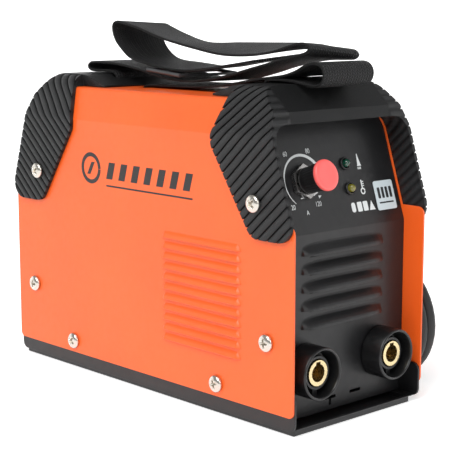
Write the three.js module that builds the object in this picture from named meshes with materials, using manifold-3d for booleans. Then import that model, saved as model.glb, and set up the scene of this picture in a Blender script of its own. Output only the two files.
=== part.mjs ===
// Stick welding inverter: sheet-metal case, two ribbed bumpers, leaning control panel, shoulder strap and
// mains lead.
// Millimetres, +Z up. The front faces -Y, +X is the right side seen from the front, the ground is z = 0.

import * as THREE from 'three';
import { mergeVertices } from 'three/addons/utils/BufferGeometryUtils.js';
import Module from 'manifold-3d';

const wasm = await Module();
wasm.setup();

// ---- driving dimensions ----
const WIDTH = 100;
const LENGTH = 237.5;
const HALF_W = WIDTH / 2;
const HALF_L = LENGTH / 2;
const SHEET = 1.2;               // steel sheet
const GAP = 0.3;                 // clearance between neighbouring pieces
const COVER_BOTTOM = 10;
const COVER_TOP = 167;
const COVER_FOLD_Z = 148.7;      // the side leans inwards above this height
const COVER_FOLD_IN = 7;
const CHEEK_TOP = 107;           // the cheeks ahead of the panel reach this high
const RECESS = 13.25;            // panel behind the cover's front edge
const PANEL_Y = HALF_L - RECESS; // distance of both panels from the middle
const PANEL_FOLD_Z = 99.3;
const LEAN = THREE.MathUtils.degToRad(18);
const TRAY_FLOOR_Z = 2.4;
const TRAY_FLANGE_TOP = 21;
const TRAY_HALF_W = HALF_W - SHEET - 0.1;
const BUMPER_SIDE = 2.4;         // bumper skin outside the cover
const BUMPER_TOP = 174;
const BUMPER_SMOOTH_HALF = 38;   // half width of the smooth top between the ribbed shoulders
const RIB_ANGLE = THREE.MathUtils.degToRad(42);
const RIB_PITCH = 4.5;
const RIB_GROOVE = 0.9;
const RIB_DEPTH = 1.1;
const BAND_BOTTOM = 155.5;       // lower edge of the bumper's front band
const SOCKET_X = 28.6;
const SOCKET_Z = 29.4;
const SOCKET_R = 13.75;
const SOCKET_FRONT = HALF_L + 0.4;
const SOCKET_NECK_R = 9;
const BRASS_R = 6.8;
const BORE_R = 4.65;
const KNOB_X = -22;
const KNOB_S = 26.8;             // distance up the leaning panel from its fold
const LED_X = 11.3;
const LED_S = { led_green: 34, led_amber: 20.5 };
const COVER_LIP = 0.6;           // the cover's edge ahead of the panel's face
const FAN_SIZE = 70;
const FAN_X = -8.5;
const FAN_Z = 58;
const GLAND_X = 37;
const GLAND_Z = 24;
const SWITCH_S = 34;
const SWITCH_THROW = THREE.MathUtils.degToRad(20);
const RELIEF_LENGTH = 26;
const BOARD_Z = 14;
const CORD_D = 7;
const COIL_MEAN_R = 27.5;        // three turns deep and two wide
const COIL_LEAN = THREE.MathUtils.degToRad(6);
const COIL_Y = -76;
const STRAP_WIDTH = 38;
const STRAP_THICK = 1.5;

// ---- materials ----
const materials = {
  orange: new THREE.MeshStandardMaterial({ color: 0xec6a2c, roughness: 0.38, metalness: 0.0 }),
  blackPaint: new THREE.MeshStandardMaterial({ color: 0x26262a, roughness: 0.5, metalness: 0.0 }),
  rubber: new THREE.MeshStandardMaterial({ color: 0x1e1f21, roughness: 0.7, metalness: 0.0 }),
  plastic: new THREE.MeshStandardMaterial({ color: 0x141416, roughness: 0.45, metalness: 0.0 }),
  coral: new THREE.MeshStandardMaterial({ color: 0xf05a58, roughness: 0.4, metalness: 0.0 }),
  brass: new THREE.MeshStandardMaterial({ color: 0xc9a45a, roughness: 0.3, metalness: 1.0 }),
  steel: new THREE.MeshStandardMaterial({ color: 0xb9b6ac, roughness: 0.3, metalness: 1.0 }),
  aluminium: new THREE.MeshStandardMaterial({ color: 0xb4b8bc, roughness: 0.4, metalness: 1.0 }),
  copper: new THREE.MeshStandardMaterial({ color: 0xb56a3c, roughness: 0.35, metalness: 1.0 }),
  board: new THREE.MeshStandardMaterial({ color: 0x1d5a34, roughness: 0.5, metalness: 0.0 }),
  ferrite: new THREE.MeshStandardMaterial({ color: 0x2d2d30, roughness: 0.6, metalness: 0.0 }),
  green: new THREE.MeshStandardMaterial({ color: 0x0f5a44, roughness: 0.15, metalness: 0.0 }),
  amber: new THREE.MeshStandardMaterial({ color: 0x8a8420, roughness: 0.15, metalness: 0.0 }),
  label: new THREE.MeshStandardMaterial({ color: 0xd6dee0, roughness: 0.5, metalness: 0.0 }),
  webbing: new THREE.MeshStandardMaterial({ color: 0x151517, roughness: 0.9, metalness: 0.0 }),
};

// ---- solids ----
function solid(geometry) {
  const bare = geometry.clone();
  bare.deleteAttribute('normal');
  bare.deleteAttribute('uv');
  const merged = mergeVertices(bare, 1e-4);
  const mesh = new wasm.Mesh({
    numProp: 3,
    vertProperties: new Float32Array(merged.attributes.position.array),
    triVerts: new Uint32Array(merged.index.array),
  });
  return new wasm.Manifold(mesh);
}

function geometryOf(manifold) {
  const mesh = manifold.getMesh();
  const geometry = new THREE.BufferGeometry();
  geometry.setAttribute('position', new THREE.BufferAttribute(mesh.vertProperties, 3));
  geometry.setIndex(new THREE.BufferAttribute(mesh.triVerts, 1));
  geometry.computeVertexNormals();
  return geometry;
}

// Corners are [a, b] or [a, b, radius]; a corner with a radius becomes an arc of `steps` chords.
function outline(corners, steps = 5) {
  const points = [];
  corners.forEach((corner, i) => {
    const here = new THREE.Vector2(corner[0], corner[1]);
    if (!corner[2]) {
      points.push(here);
      return;
    }
    const before = corners[(i + corners.length - 1) % corners.length];
    const after = corners[(i + 1) % corners.length];
    const back = new THREE.Vector2(before[0], before[1]).sub(here).normalize();
    const on = new THREE.Vector2(after[0], after[1]).sub(here).normalize();
    const half = Math.acos(THREE.MathUtils.clamp(back.dot(on), -1, 1)) / 2;
    const centre = back.clone().add(on).normalize().multiplyScalar(corner[2] / Math.sin(half)).add(here);
    const start = back.clone().multiplyScalar(corner[2] / Math.tan(half)).add(here).sub(centre);
    const end = on.clone().multiplyScalar(corner[2] / Math.tan(half)).add(here).sub(centre);
    const sweep = Math.atan2(start.cross(end), start.dot(end));
    for (let k = 0; k <= steps; k += 1) {
      points.push(start.clone().rotateAround(new THREE.Vector2(), (sweep * k) / steps).add(centre));
    }
  });
  return points;
}

// A prism of a flat outline. Along x the outline is (y, z), along y it is (x, z), along z it is (x, y).
function prism(points, axis, low, high) {
  const geometry = new THREE.ExtrudeGeometry(new THREE.Shape(points), {
    depth: high - low,
    bevelEnabled: false,
    steps: 1,
  });
  const place = new THREE.Matrix4();
  if (axis === 'x') {
    place.set(0, 0, 1, low, 1, 0, 0, 0, 0, 1, 0, 0, 0, 0, 0, 1);
  } else if (axis === 'y') {
    place.set(1, 0, 0, 0, 0, 0, -1, high, 0, 1, 0, 0, 0, 0, 0, 1);
  } else {
    place.makeTranslation(0, 0, low);
  }
  return geometry.applyMatrix4(place);
}

function box(x, y, z) {
  const geometry = new THREE.BoxGeometry(x[1] - x[0], y[1] - y[0], z[1] - z[0]);
  return geometry.translate((x[0] + x[1]) / 2, (y[0] + y[1]) / 2, (z[0] + z[1]) / 2);
}

// A turned piece: the profile is [radius, height] and its axis is the given one.
function turned(profile, sides, axis = 'y') {
  const geometry = new THREE.LatheGeometry(profile.map(([r, h]) => new THREE.Vector2(r, h)), sides);
  if (axis === 'x') geometry.rotateZ(-Math.PI / 2);
  if (axis === 'z') geometry.rotateX(Math.PI / 2);
  return geometry;
}

function rod(radius, low, high, sides, axis = 'y') {
  return turned([[0, low], [radius, low], [radius, high], [0, high]], sides, axis);
}

// A closed body through rings of points, each ring in the same order round the body.
function skin(rings) {
  const around = rings[0].length;
  const index = [];
  for (let i = 0; i + 1 < rings.length; i += 1) {
    for (let k = 0; k < around; k += 1) {
      const a = i * around + k;
      const b = i * around + ((k + 1) % around);
      index.push(a, b, b + around, a, b + around, a + around);
    }
  }
  const last = (rings.length - 1) * around;
  for (let k = 1; k + 1 < around; k += 1) {
    index.push(0, k + 1, k, last, last + k, last + k + 1);
  }
  const geometry = new THREE.BufferGeometry().setFromPoints(rings.flat());
  geometry.setIndex(index);
  return geometry;
}

function cut(body, ...tools) {
  return tools.reduce((left, tool) => left.subtract(tool), body);
}

function join(...parts) {
  return parts.reduce((left, part) => left.add(part));
}

const group = new THREE.Group();

function put(name, shape, material, parent = group) {
  const geometry = shape instanceof THREE.BufferGeometry ? shape : geometryOf(shape);
  const mesh = new THREE.Mesh(geometry, materials[material].clone());
  mesh.name = name;
  parent.add(mesh);
  return mesh;
}

// ---- case ----
// y of the leaning panel's outer face at height z, as a distance from the middle
function panelDepth(z) {
  return PANEL_Y - Math.max(0, z - PANEL_FOLD_Z) * Math.tan(LEAN);
}

function coverSection(grow) {
  const foldSlope = COVER_FOLD_IN / (COVER_TOP - COVER_FOLD_Z);
  const top = COVER_TOP + grow;
  const side = HALF_W + grow;
  const shoulder = side - (top - COVER_FOLD_Z) * foldSlope;
  return [
    [-side, 0], [-side, COVER_FOLD_Z], [-shoulder, top, 2 + Math.max(0, grow)],
    [shoulder, top, 2 + Math.max(0, grow)], [side, COVER_FOLD_Z], [side, 0],
  ];
}

function coverSide(grow) {
  const lip = COVER_LIP + grow;
  const half = [
    [HALF_L + grow, COVER_BOTTOM, 3],
    [HALF_L + grow, CHEEK_TOP, 4],
    [panelDepth(CHEEK_TOP) + lip, CHEEK_TOP],
    [panelDepth(COVER_TOP + 10) + lip, COVER_TOP + 10],
  ];
  const front = half.map(([s, z, r]) => [-s, z, r]);
  return outline([...front, ...half.reverse()], 4);
}

const LOUVRE = { count: 11, first: 33.6, pitch: 5.64, from: -80, to: -20, slot: 1.6, rise: 1.8, height: 4.4 };

// A hood that leans out to a lip at its lower edge, with sloping ends.
function sideLouvre(side, z) {
  const { from, to, height, rise } = LOUVRE;
  const root = side * (HALF_W - 0.6);
  const rings = [[from - 1, 0.1], [from, 0.55], [from + 1.4, 1], [to - 1.4, 1], [to, 0.55], [to + 1, 0.1]];
  return solid(skin(rings.map(([y, open]) => {
    const ring = [
      [root, z + height * (0.5 + 0.5 * open)],
      [side * (HALF_W + rise * 0.62 * open), z + height * 0.5 * open],
      [side * (HALF_W + rise * open), z + 0.4], [side * (HALF_W + rise * open * 0.9), z], [root, z],
    ].map(([x, h]) => new THREE.Vector3(x, y, h));
    return side > 0 ? ring : ring.reverse();
  })));
}

// The opening faces down behind the lip.
function sideSlot(side, z) {
  const { from, to, slot, rise } = LOUVRE;
  const points = outline([
    [side * (HALF_W - 3), z - 0.3], [side * (HALF_W + rise * 0.62), z - 0.3],
    [side * (HALF_W + 0.1), z + slot], [side * (HALF_W - 3), z + slot],
  ]);
  return solid(prism(points, 'y', from + 1.5, to - 1.5));
}

// [distance from the middle along y, height, outward offset of the seat]
const SCREWS = {
  front_bumper: [-93, 116.4, BUMPER_SIDE],
  rear_bumper: [93, 116.4, BUMPER_SIDE],
  front: [-100, 46, 0],
  rear: [101.5, 46, 0],
  bottom_front: [-62.5, 17, 0],
  bottom_rear: [63, 17, 0],
};
const SCREW_SHANK_R = 2;
const SCREW_HOLE_R = 2.4;

function screwHoles() {
  return Object.values(SCREWS).map(([y, z]) => (
    solid(rod(SCREW_HOLE_R, -HALF_W - 6, HALF_W + 6, 10, 'x').translate(0, y, z))
  ));
}

// The strap goes through three slots in the top of the cover.
const STRAP_SLOTS = { front: [-69, -61.5], rear_low: [30, 38.5], rear_high: [56.4, 63] };

function strapSlots() {
  const half = STRAP_WIDTH / 2 + 1.5;
  return Object.values(STRAP_SLOTS).map((y) => (
    solid(box([-half, half], y, [COVER_TOP - 5, BUMPER_TOP + 5]))
  ));
}

function makeCover() {
  const shell = solid(prism(outline(coverSection(0), 3), 'y', -HALF_L - 1, HALF_L + 1))
    .subtract(solid(prism(outline(coverSection(-1), 3).map((p) => (
      new THREE.Vector2(p.x, p.y < 1 ? -1 : p.y))), 'y', -HALF_L - 2, HALF_L + 2)));
  let cover = shell.intersect(solid(prism(coverSide(0), 'x', -HALF_W - 1, HALF_W + 1)));
  for (const side of [-1, 1]) {
    for (let i = 0; i < LOUVRE.count; i += 1) {
      cover = cover.add(sideLouvre(side, LOUVRE.first + i * LOUVRE.pitch));
    }
    for (let i = 0; i < LOUVRE.count; i += 1) {
      cover = cover.subtract(sideSlot(side, LOUVRE.first + i * LOUVRE.pitch));
    }
  }
  put('cover', cut(cover, ...screwHoles(), ...strapSlots()), 'orange');
}

function makeTray() {
  const side = outline([
    [-HALF_L, TRAY_FLOOR_Z, 4], [HALF_L, TRAY_FLOOR_Z, 4],
    [HALF_L, TRAY_FLANGE_TOP, 4], [-HALF_L, TRAY_FLANGE_TOP, 4],
  ], 3);
  const foot = box([-TRAY_HALF_W + 2, TRAY_HALF_W - 6], [-HALF_L + 2.5, HALF_L - 2.5], [0, TRAY_FLOOR_Z + 1]);
  const footHollow = box(
    [-TRAY_HALF_W + 3.2, TRAY_HALF_W - 7.2], [-HALF_L + 3.7, HALF_L - 3.7], [SHEET, TRAY_FLOOR_Z + 4]);
  const inside = TRAY_HALF_W - SHEET;
  const tray = join(solid(prism(side, 'x', -TRAY_HALF_W, TRAY_HALF_W)), solid(foot));
  put('base_tray', cut(
    tray,
    solid(box([-inside, inside], [-HALF_L - 1, HALF_L + 1], [TRAY_FLOOR_Z + SHEET, TRAY_FLANGE_TOP + 1])),
    solid(footHollow),
    ...screwHoles(),
  ), 'blackPaint');
}

// ---- panels ----
const PANEL_BOTTOM = TRAY_FLOOR_Z + SHEET + GAP;
const PANEL_TOP = COVER_TOP - 1.6;
const PANEL_HALF_LOW = TRAY_HALF_W - SHEET - GAP;
const PANEL_HALF_HIGH = HALF_W - 1 - GAP;

function panelStrip(end, thickness, zLow, zHigh, xLow, xHigh) {
  const back = (z) => panelDepth(z) - thickness;
  const folded = zLow < PANEL_FOLD_Z && zHigh > PANEL_FOLD_Z;
  const points = [[panelDepth(zLow), zLow]];
  if (folded) points.push([PANEL_Y, PANEL_FOLD_Z]);
  points.push([panelDepth(zHigh), zHigh], [back(zHigh), zHigh]);
  if (folded) points.push([PANEL_Y - thickness, PANEL_FOLD_Z]);
  points.push([back(zLow), zLow]);
  return solid(prism(points.map(([s, z]) => new THREE.Vector2(end * s, z)), 'x', xLow, xHigh));
}

const PANEL_FLANGE = 14;

function panelBlank(end) {
  const split = TRAY_FLANGE_TOP + GAP;
  const top = COVER_FOLD_Z - 1;
  const inner = PANEL_HALF_HIGH - SHEET;
  const room = solid(prism(outline(coverSection(-1 - GAP), 3), 'y', -HALF_L, HALF_L));
  const upper = join(
    panelStrip(end, SHEET, split, PANEL_TOP, -HALF_W, HALF_W),
    panelStrip(end, PANEL_FLANGE, split, top, -HALF_W, -inner),
    panelStrip(end, PANEL_FLANGE, split, top, inner, HALF_W),
  ).intersect(room);
  return join(panelStrip(end, SHEET, PANEL_BOTTOM, split + 1, -PANEL_HALF_LOW, PANEL_HALF_LOW), upper);
}

// A group whose +Y points out of the leaning face, at x and s up the slope; end is -1 for the front.
function onLean(end, x, s) {
  const place = new THREE.Group();
  place.rotation.set(end < 0 ? Math.PI - LEAN : LEAN, 0, 0);
  place.position.set(x, end * (PANEL_Y - s * Math.sin(LEAN)), PANEL_FOLD_Z + s * Math.cos(LEAN));
  place.updateMatrix();
  group.add(place);
  return place;
}

function leanCut(end, x, s, geometry) {
  const place = new THREE.Matrix4();
  const turn = new THREE.Euler(end < 0 ? Math.PI - LEAN : LEAN, 0, 0);
  place.makeRotationFromEuler(turn);
  place.setPosition(x, end * (PANEL_Y - s * Math.sin(LEAN)), PANEL_FOLD_Z + s * Math.cos(LEAN));
  return solid(geometry.applyMatrix4(place));
}

const VENT = { count: 5, lowest: 50.5, pitch: 9.5, half: 31, rise: 4.2, height: 6.6, slot: 2.2 };
const VENT_OPEN_HALF = VENT.half - 6;
const VENT_STATIONS = 16;
const VENT_STEPS = 6;

// A pressed louvre rises smoothly out of the sheet to its lower lip, and closes down to it at both ends.
function ventHood(z) {
  const rings = [];
  for (let i = 0; i <= VENT_STATIONS; i += 1) {
    const at = -Math.cos((Math.PI * i) / VENT_STATIONS);
    const open = Math.max(0.04, Math.sqrt(1 - Math.abs(at) ** 5));
    const x = at * VENT.half;
    const top = z + VENT.height * (0.55 + 0.45 * open);
    const ring = [new THREE.Vector3(x, -PANEL_Y + 0.6, top)];
    for (let k = 0; k <= VENT_STEPS; k += 1) {
      const down = k / VENT_STEPS;
      const out = VENT.rise * open * THREE.MathUtils.smoothstep(down, 0, 0.85);
      ring.push(new THREE.Vector3(x, -PANEL_Y - out, THREE.MathUtils.lerp(top, z, down)));
    }
    ring.push(new THREE.Vector3(x, -PANEL_Y + 0.6, z));
    rings.push(ring);
  }
  return solid(skin(rings));
}

function ventSlot(z) {
  const span = [-VENT_OPEN_HALF, VENT_OPEN_HALF];
  return solid(box(span, [-PANEL_Y - 1, -PANEL_Y + SHEET + 1], [z - 0.4, z + VENT.slot]));
}

function ventHollow(z) {
  const points = outline([
    [-PANEL_Y + 0.7, z + VENT.height * 0.6],
    [-PANEL_Y - VENT.rise * 0.5, z + VENT.height * 0.3],
    [-PANEL_Y - VENT.rise * 0.72, z - 1],
    [-PANEL_Y + 0.7, z - 1],
  ]);
  return solid(prism(points, 'x', -VENT_OPEN_HALF, VENT_OPEN_HALF));
}

const SIGN = { z: 10.5, long: 8.4, thin: 1.5, plusX: -8.5, minusX: 11 };

function signMark(x, arms) {
  return arms.map(([w, h]) => (
    solid(box([x - w / 2, x + w / 2], [-PANEL_Y - 1, -PANEL_Y + SHEET + 1], [SIGN.z - h / 2, SIGN.z + h / 2]))
  ));
}

function makeFrontPanel() {
  let panel = panelBlank(-1);
  for (let i = 0; i < VENT.count; i += 1) panel = panel.add(ventHood(VENT.lowest + i * VENT.pitch));
  for (let i = 0; i < VENT.count; i += 1) {
    panel = cut(panel, ventHollow(VENT.lowest + i * VENT.pitch), ventSlot(VENT.lowest + i * VENT.pitch));
  }
  const socketHoles = [-SOCKET_X, SOCKET_X].map((x) => (
    solid(rod(SOCKET_NECK_R + GAP, -PANEL_Y - 2, -PANEL_Y + 3, 20).translate(x, 0, SOCKET_Z))
  ));
  put('front_panel', cut(
    panel,
    ...socketHoles,
    ...signMark(SIGN.plusX, [[SIGN.long, SIGN.thin], [SIGN.thin, SIGN.long]]),
    ...signMark(SIGN.minusX, [[SIGN.long, SIGN.thin]]),
    leanCut(-1, KNOB_X, KNOB_S, rod(3.9, -3, 3, 16)),
    leanCut(-1, LED_X, LED_S.led_green, rod(2.6, -3, 3, 12)),
    leanCut(-1, LED_X, LED_S.led_amber, rod(2.6, -3, 3, 12)),
    ...screwHoles(),
  ), 'blackPaint');
}

function makeRearPanel() {
  const fanHole = solid(rod(FAN_SIZE / 2 - 2, PANEL_Y - 3, PANEL_Y + 2, 32).translate(FAN_X, 0, FAN_Z));
  const glandHole = solid(rod(6.5, PANEL_Y - 3, PANEL_Y + 2, 16).translate(GLAND_X, 0, GLAND_Z));
  put('rear_panel', cut(
    panelBlank(1),
    fanHole,
    glandHole,
    leanCut(1, 0, SWITCH_S, box([-13.3, 13.3], [-3, 3], [-9.8, 9.8])),
    ...screwHoles(),
  ), 'blackPaint');
}

// ---- bumpers ----
function bumperSection(inset) {
  const side = HALF_W + BUMPER_SIDE - inset;
  const top = BUMPER_TOP - inset;
  const shoulder = BUMPER_SMOOTH_HALF - 1 - inset;
  return outline([
    [-side, 90], [-side, 150, 10], [-shoulder - 6, top, 12],
    [shoulder + 6, top, 12], [side, 150, 10], [side, 90],
  ], 5);
}

function bumperSide(end, inset) {
  const rim = HALF_L + 0.9 - inset;
  const slope = Math.tan(LEAN);
  const foldZ = 161.5;
  const foldS = rim - (foldZ - 106) * slope;
  const topS = foldS - (BUMPER_TOP - foldZ) * 1.05;
  return outline([
    [end * (rim + 2.2), 98.3, 9],
    [end * foldS, foldZ],
    [end * topS, BUMPER_TOP - inset * 0.6],
    [end * 68, BUMPER_TOP - inset * 0.6],
    [end * 60, 148, 5],
    [end * 60.5, 143, 4],
    [end * 90.5, 98.3, 9],
  ], 5);
}

function bumperTongue(end) {
  const points = [[46, COVER_TOP - 2], [46, COVER_TOP + 1.2], [62, 173.2], [68, BUMPER_TOP],
    [80, BUMPER_TOP], [80, COVER_TOP - 2]];
  const half = BUMPER_SMOOTH_HALF - 0.5;
  return solid(prism(points.map(([s, z]) => new THREE.Vector2(end * s, z)), 'x', -half, half));
}

// Room for the cover and for the panel's edge inside the bumper.
function bumperRoom(end) {
  const lip = COVER_LIP + GAP;
  const far = HALF_L * 0.3;
  const top = COVER_TOP + 12;
  const front = panelDepth(CHEEK_TOP) + 30;
  const behind = [
    [front, 80], [front, CHEEK_TOP + GAP], [panelDepth(CHEEK_TOP) + lip, CHEEK_TOP + GAP],
    [panelDepth(top) + lip, top], [far, top], [far, 80],
  ];
  const inside = solid(prism(outline(coverSection(GAP), 3), 'y', -HALF_L - 20, HALF_L + 20));
  return inside.intersect(solid(prism(
    behind.map(([s, z]) => new THREE.Vector2(end * s, z)), 'x', -HALF_W - 5, HALF_W + 5)));
}

// The open window in front of the panel, with round upper corners.
function bumperWindow(end) {
  const half = HALF_W + GAP;
  const points = outline([[-half, 80], [-half, BAND_BOTTOM, 9], [half, BAND_BOTTOM, 9], [half, 80]], 5);
  const y = [panelDepth(COVER_TOP) - 4, HALF_L + 20];
  return solid(prism(points, 'y', end < 0 ? -y[1] : y[0], end < 0 ? -y[0] : y[1]));
}

function ribGrooves(end) {
  const surface = solid(prism(bumperSection(-2), 'y', -HALF_L - 20, HALF_L + 20))
    .subtract(solid(prism(bumperSection(RIB_DEPTH), 'y', -HALF_L - 21, HALF_L + 21)));
  const along = new THREE.Vector2(Math.cos(RIB_ANGLE), Math.sin(RIB_ANGLE));
  const across = new THREE.Vector2(-along.y, along.x);
  const grooves = [];
  for (let i = -11; i <= 11; i += 1) {
    const middle = new THREE.Vector2(90, 130).addScaledVector(across, i * RIB_PITCH);
    const corners = [[-60, -1], [60, -1], [60, 1], [-60, 1]];
    const points = corners.map(([a, b]) => (
      middle.clone().addScaledVector(along, a).addScaledVector(across, (b * RIB_GROOVE) / 2)
    ));
    for (const side of [[-HALF_W - 8, -BUMPER_SMOOTH_HALF], [BUMPER_SMOOTH_HALF, HALF_W + 8]]) {
      grooves.push(solid(prism(points.map((p) => new THREE.Vector2(end * p.x, p.y)), 'x', ...side)));
    }
  }
  return join(...grooves).intersect(surface);
}

function makeBumper(name, end) {
  const wing = solid(prism(bumperSection(0), 'y', -HALF_L - 10, HALF_L + 10))
    .intersect(solid(prism(bumperSide(end, 0), 'x', -HALF_W - 10, HALF_W + 10)));
  const body = cut(join(wing, bumperTongue(end)), bumperRoom(end), bumperWindow(end), ribGrooves(end));
  put(name, cut(body, ...screwHoles(), ...strapSlots()), 'rubber');
}

// ---- fasteners ----
const SCREW_HEAD = [
  [0, -6], [SCREW_SHANK_R, -6], [SCREW_SHANK_R, GAP], [4.7, GAP], [4.7, 1.2], [3.2, 2.7], [0, 3],
];

function makeScrews() {
  for (const [side, sign] of [['left', -1], ['right', 1]]) {
    for (const [where, [y, z, seat]] of Object.entries(SCREWS)) {
      const screw = put(`screw_${side}_${where}`, turned(SCREW_HEAD, 10, 'x'), 'steel');
      screw.rotation.z = sign < 0 ? Math.PI : 0;
      screw.position.set(sign * (HALF_W + seat), y, z);
    }
  }
}

// ---- output sockets ----
const RING_DEPTH = 11;           // of the hollow between the collar and the brass
const NECK_DEPTH = 9;            // of the housing behind the panel
const CONTACT_INSET = 3.5;
const CONTACT_DEPTH = 16;        // of the contact behind the panel
const BORE_END = 12;

function makeSocket(name, x) {
  const behind = -PANEL_Y + CONTACT_DEPTH;
  const housing = cut(
    join(
      solid(rod(SOCKET_R, -SOCKET_FRONT, -PANEL_Y - GAP, 32)),
      solid(rod(SOCKET_NECK_R, -PANEL_Y - 1, -PANEL_Y + NECK_DEPTH, 20)),
    ),
    solid(rod(SOCKET_R - 1.5, -SOCKET_FRONT - 1, -SOCKET_FRONT + RING_DEPTH, 32)),
    solid(rod(BRASS_R + GAP, -SOCKET_FRONT - 1, behind, 24)),
  );
  put(`${name}_housing`, housing, 'plastic').position.set(x, 0, SOCKET_Z);
  const key = box([-1.6, 1.6], [-SOCKET_FRONT, -PANEL_Y + 2], [0, BORE_R + 1.1]);
  const contact = cut(
    solid(rod(BRASS_R, -SOCKET_FRONT + CONTACT_INSET, behind, 24)),
    solid(rod(BORE_R, -SOCKET_FRONT, -PANEL_Y + BORE_END, 24)),
    solid(key),
  );
  put(`${name}_contact`, contact, 'brass').position.set(x, 0, SOCKET_Z);
  const nut = cut(
    solid(rod(12, -PANEL_Y + SHEET + GAP, -PANEL_Y + SHEET + 6, 6)),
    solid(rod(SOCKET_NECK_R + GAP, -PANEL_Y, -PANEL_Y + NECK_DEPTH, 20)),
  );
  put(`${name}_nut`, nut, 'steel').position.set(x, 0, SOCKET_Z);
  const bar = cut(
    solid(box([-7, 7], [behind + GAP, behind + GAP + 2], [-14, 8])),
    solid(rod(2.5, behind - 1, behind + 4, 10)),
  );
  put(name.replace('socket', 'busbar'), bar, 'copper').position.set(x, 0, SOCKET_Z);
}

// ---- current control ----
const KNOB = { from: 3.4, to: 15.2, footR: 6.6, topR: 7.5 };
const CAP = { from: 15.5, to: 18.2, radius: 8 };
const SHAFT = { radius: 3, to: 10 };

function makeCurrentControl() {
  const place = onLean(-1, KNOB_X, KNOB_S);
  const inner = -SHEET - GAP;
  put('pot_body', turned([[0, -11], [8.5, -11], [8.5, inner], [0, inner]], 20), 'steel', place);
  put('pot_nut', cut(
    solid(rod(9.2, GAP, 3, 6)),
    solid(rod(SHAFT.radius + 0.6, -1, 5, 12)),
  ), 'steel', place);
  put('pot_shaft', rod(SHAFT.radius, inner + 2 * GAP, SHAFT.to, 12), 'steel', place);
  put('knob_body', cut(
    solid(turned([
      [0, KNOB.from], [KNOB.footR, KNOB.from], [KNOB.footR + 0.2, KNOB.from + 1.6],
      [KNOB.topR, KNOB.to], [0, KNOB.to],
    ], 24)),
    solid(rod(SHAFT.radius + GAP, KNOB.from - 1, SHAFT.to + GAP, 12)),
  ), 'plastic', place);
  put('knob_cap', turned([
    [0, CAP.from], [CAP.radius - 0.1, CAP.from], [CAP.radius + 0.1, CAP.from + 0.7],
    [CAP.radius, CAP.to - 0.8], [CAP.radius - 0.8, CAP.to - 0.1], [0, CAP.to],
  ], 28), 'coral', place);
}

function makeLamp(name) {
  const place = onLean(-1, LED_X, LED_S[name]);
  put(name, turned([[0, -4], [2.25, -4], [2.25, 1.6], [2.05, 2.6], [1.3, 3.5], [0, 3.9]], 14),
    name === 'led_green' ? 'green' : 'amber', place);
  put(`${name}_bezel`, cut(
    solid(turned([[0, GAP], [3.4, GAP], [3.3, 1.1], [2.9, 1.4], [0, 1.4]], 18)),
    solid(rod(2.25 + GAP, -1, 3, 14)),
  ), 'plastic', place);
}

function makeLabel() {
  const place = onLean(-1, 37.1, 14.4);
  const corners = outline([[-7.6, -7.9, 1.2], [7.6, -7.9, 1.2], [7.6, 7.9, 1.2], [-7.6, 7.9, 1.2]], 3);
  put('spec_label', prism(corners, 'y', GAP, GAP + 0.4), 'label', place);
}

// ---- rear: fan, switch, gland ----
const FAN = { depth: 15, hubR: 14, blades: 7, bladeEnd: FAN_SIZE / 2 - 3.2, wire: 0.9 };

function makeFan() {
  const face = PANEL_Y - SHEET - GAP;
  const back = face - FAN.depth;
  const half = FAN_SIZE / 2;
  const square = outline([[-half, -half, 3], [half, -half, 3], [half, half, 3], [-half, half, 3]], 3);
  const spoke = outline([[3, 9], [15, 26], [-15, 26], [-3, 9]]);
  const frame = cut(
    solid(prism(square, 'y', back, face)),
    solid(rod(half - 2, back + 2, face + 1, 32)),
    ...[0, 1, 2, 3].map((i) => solid(prism(spoke, 'y', back - 1, back + 3).rotateY((i * Math.PI) / 2))),
  );
  put('fan_frame', frame, 'plastic').position.set(FAN_X, 0, FAN_Z);
  let rotor = solid(rod(FAN.hubR, back + 2.6, face - 1.5, 20));
  for (let i = 0; i < FAN.blades; i += 1) {
    const blade = box([10, FAN.bladeEnd], [-1, 1], [-6, 6]).rotateX(0.7);
    rotor = rotor.add(solid(blade.rotateY((i * 2 * Math.PI) / FAN.blades).translate(0, face - 7, 0)));
  }
  put('fan_rotor', rotor, 'plastic').position.set(FAN_X, 0, FAN_Z);
  const front = PANEL_Y + GAP;
  const outer = front + 2 * FAN.wire;
  const rings = [14, 24, 34].map((r) => (
    solid(rod(r + FAN.wire, front, outer, 24)).subtract(solid(rod(r - FAN.wire, front - 1, outer + 1, 24)))
  ));
  const bars = [0, 1].map((i) => solid(
    box([-half, half], [front, outer], [-FAN.wire, FAN.wire]).rotateY(Math.PI / 4 + (i * Math.PI) / 2)));
  put('fan_grille', join(...rings, ...bars), 'steel').position.set(FAN_X, 0, FAN_Z);
}

function makeSwitch() {
  const place = onLean(1, 0, SWITCH_S);
  put('switch_housing', cut(
    join(
      solid(box([-15, 15], [GAP, 2.2], [-11.5, 11.5])),
      solid(box([-13, 13], [-18, 1], [-9.5, 9.5])),
    ),
    solid(box([-11, 11], [-7, 3], [-7.5, 7.5])),
  ), 'plastic', place);
  const profile = [[-1, -7], [2.2, -6.6], [0.4, 0], [2.2, 6.6], [-1, 7], [-6, 3], [-6, -3]];
  const rocker = prism(outline(profile), 'x', -10.5, 10.5).rotateX(-SWITCH_THROW / 2);
  put('switch_rocker', rocker, 'plastic', place);
}

function makeGland() {
  put('cable_gland', join(
    solid(rod(6.2, PANEL_Y - 8, PANEL_Y + 1, 16)),
    solid(rod(9, PANEL_Y + GAP, PANEL_Y + 6, 6)),
  ), 'plastic').position.set(GLAND_X, 0, GLAND_Z);
  const y = PANEL_Y + 6 + GAP;
  const end = y + RELIEF_LENGTH;
  const relief = turned([[0, y], [6.8, y], [6.4, y + 6], [4.6, end], [0, end]], 16);
  put('strain_relief', relief, 'plastic').position.set(GLAND_X, 0, GLAND_Z);
}

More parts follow.
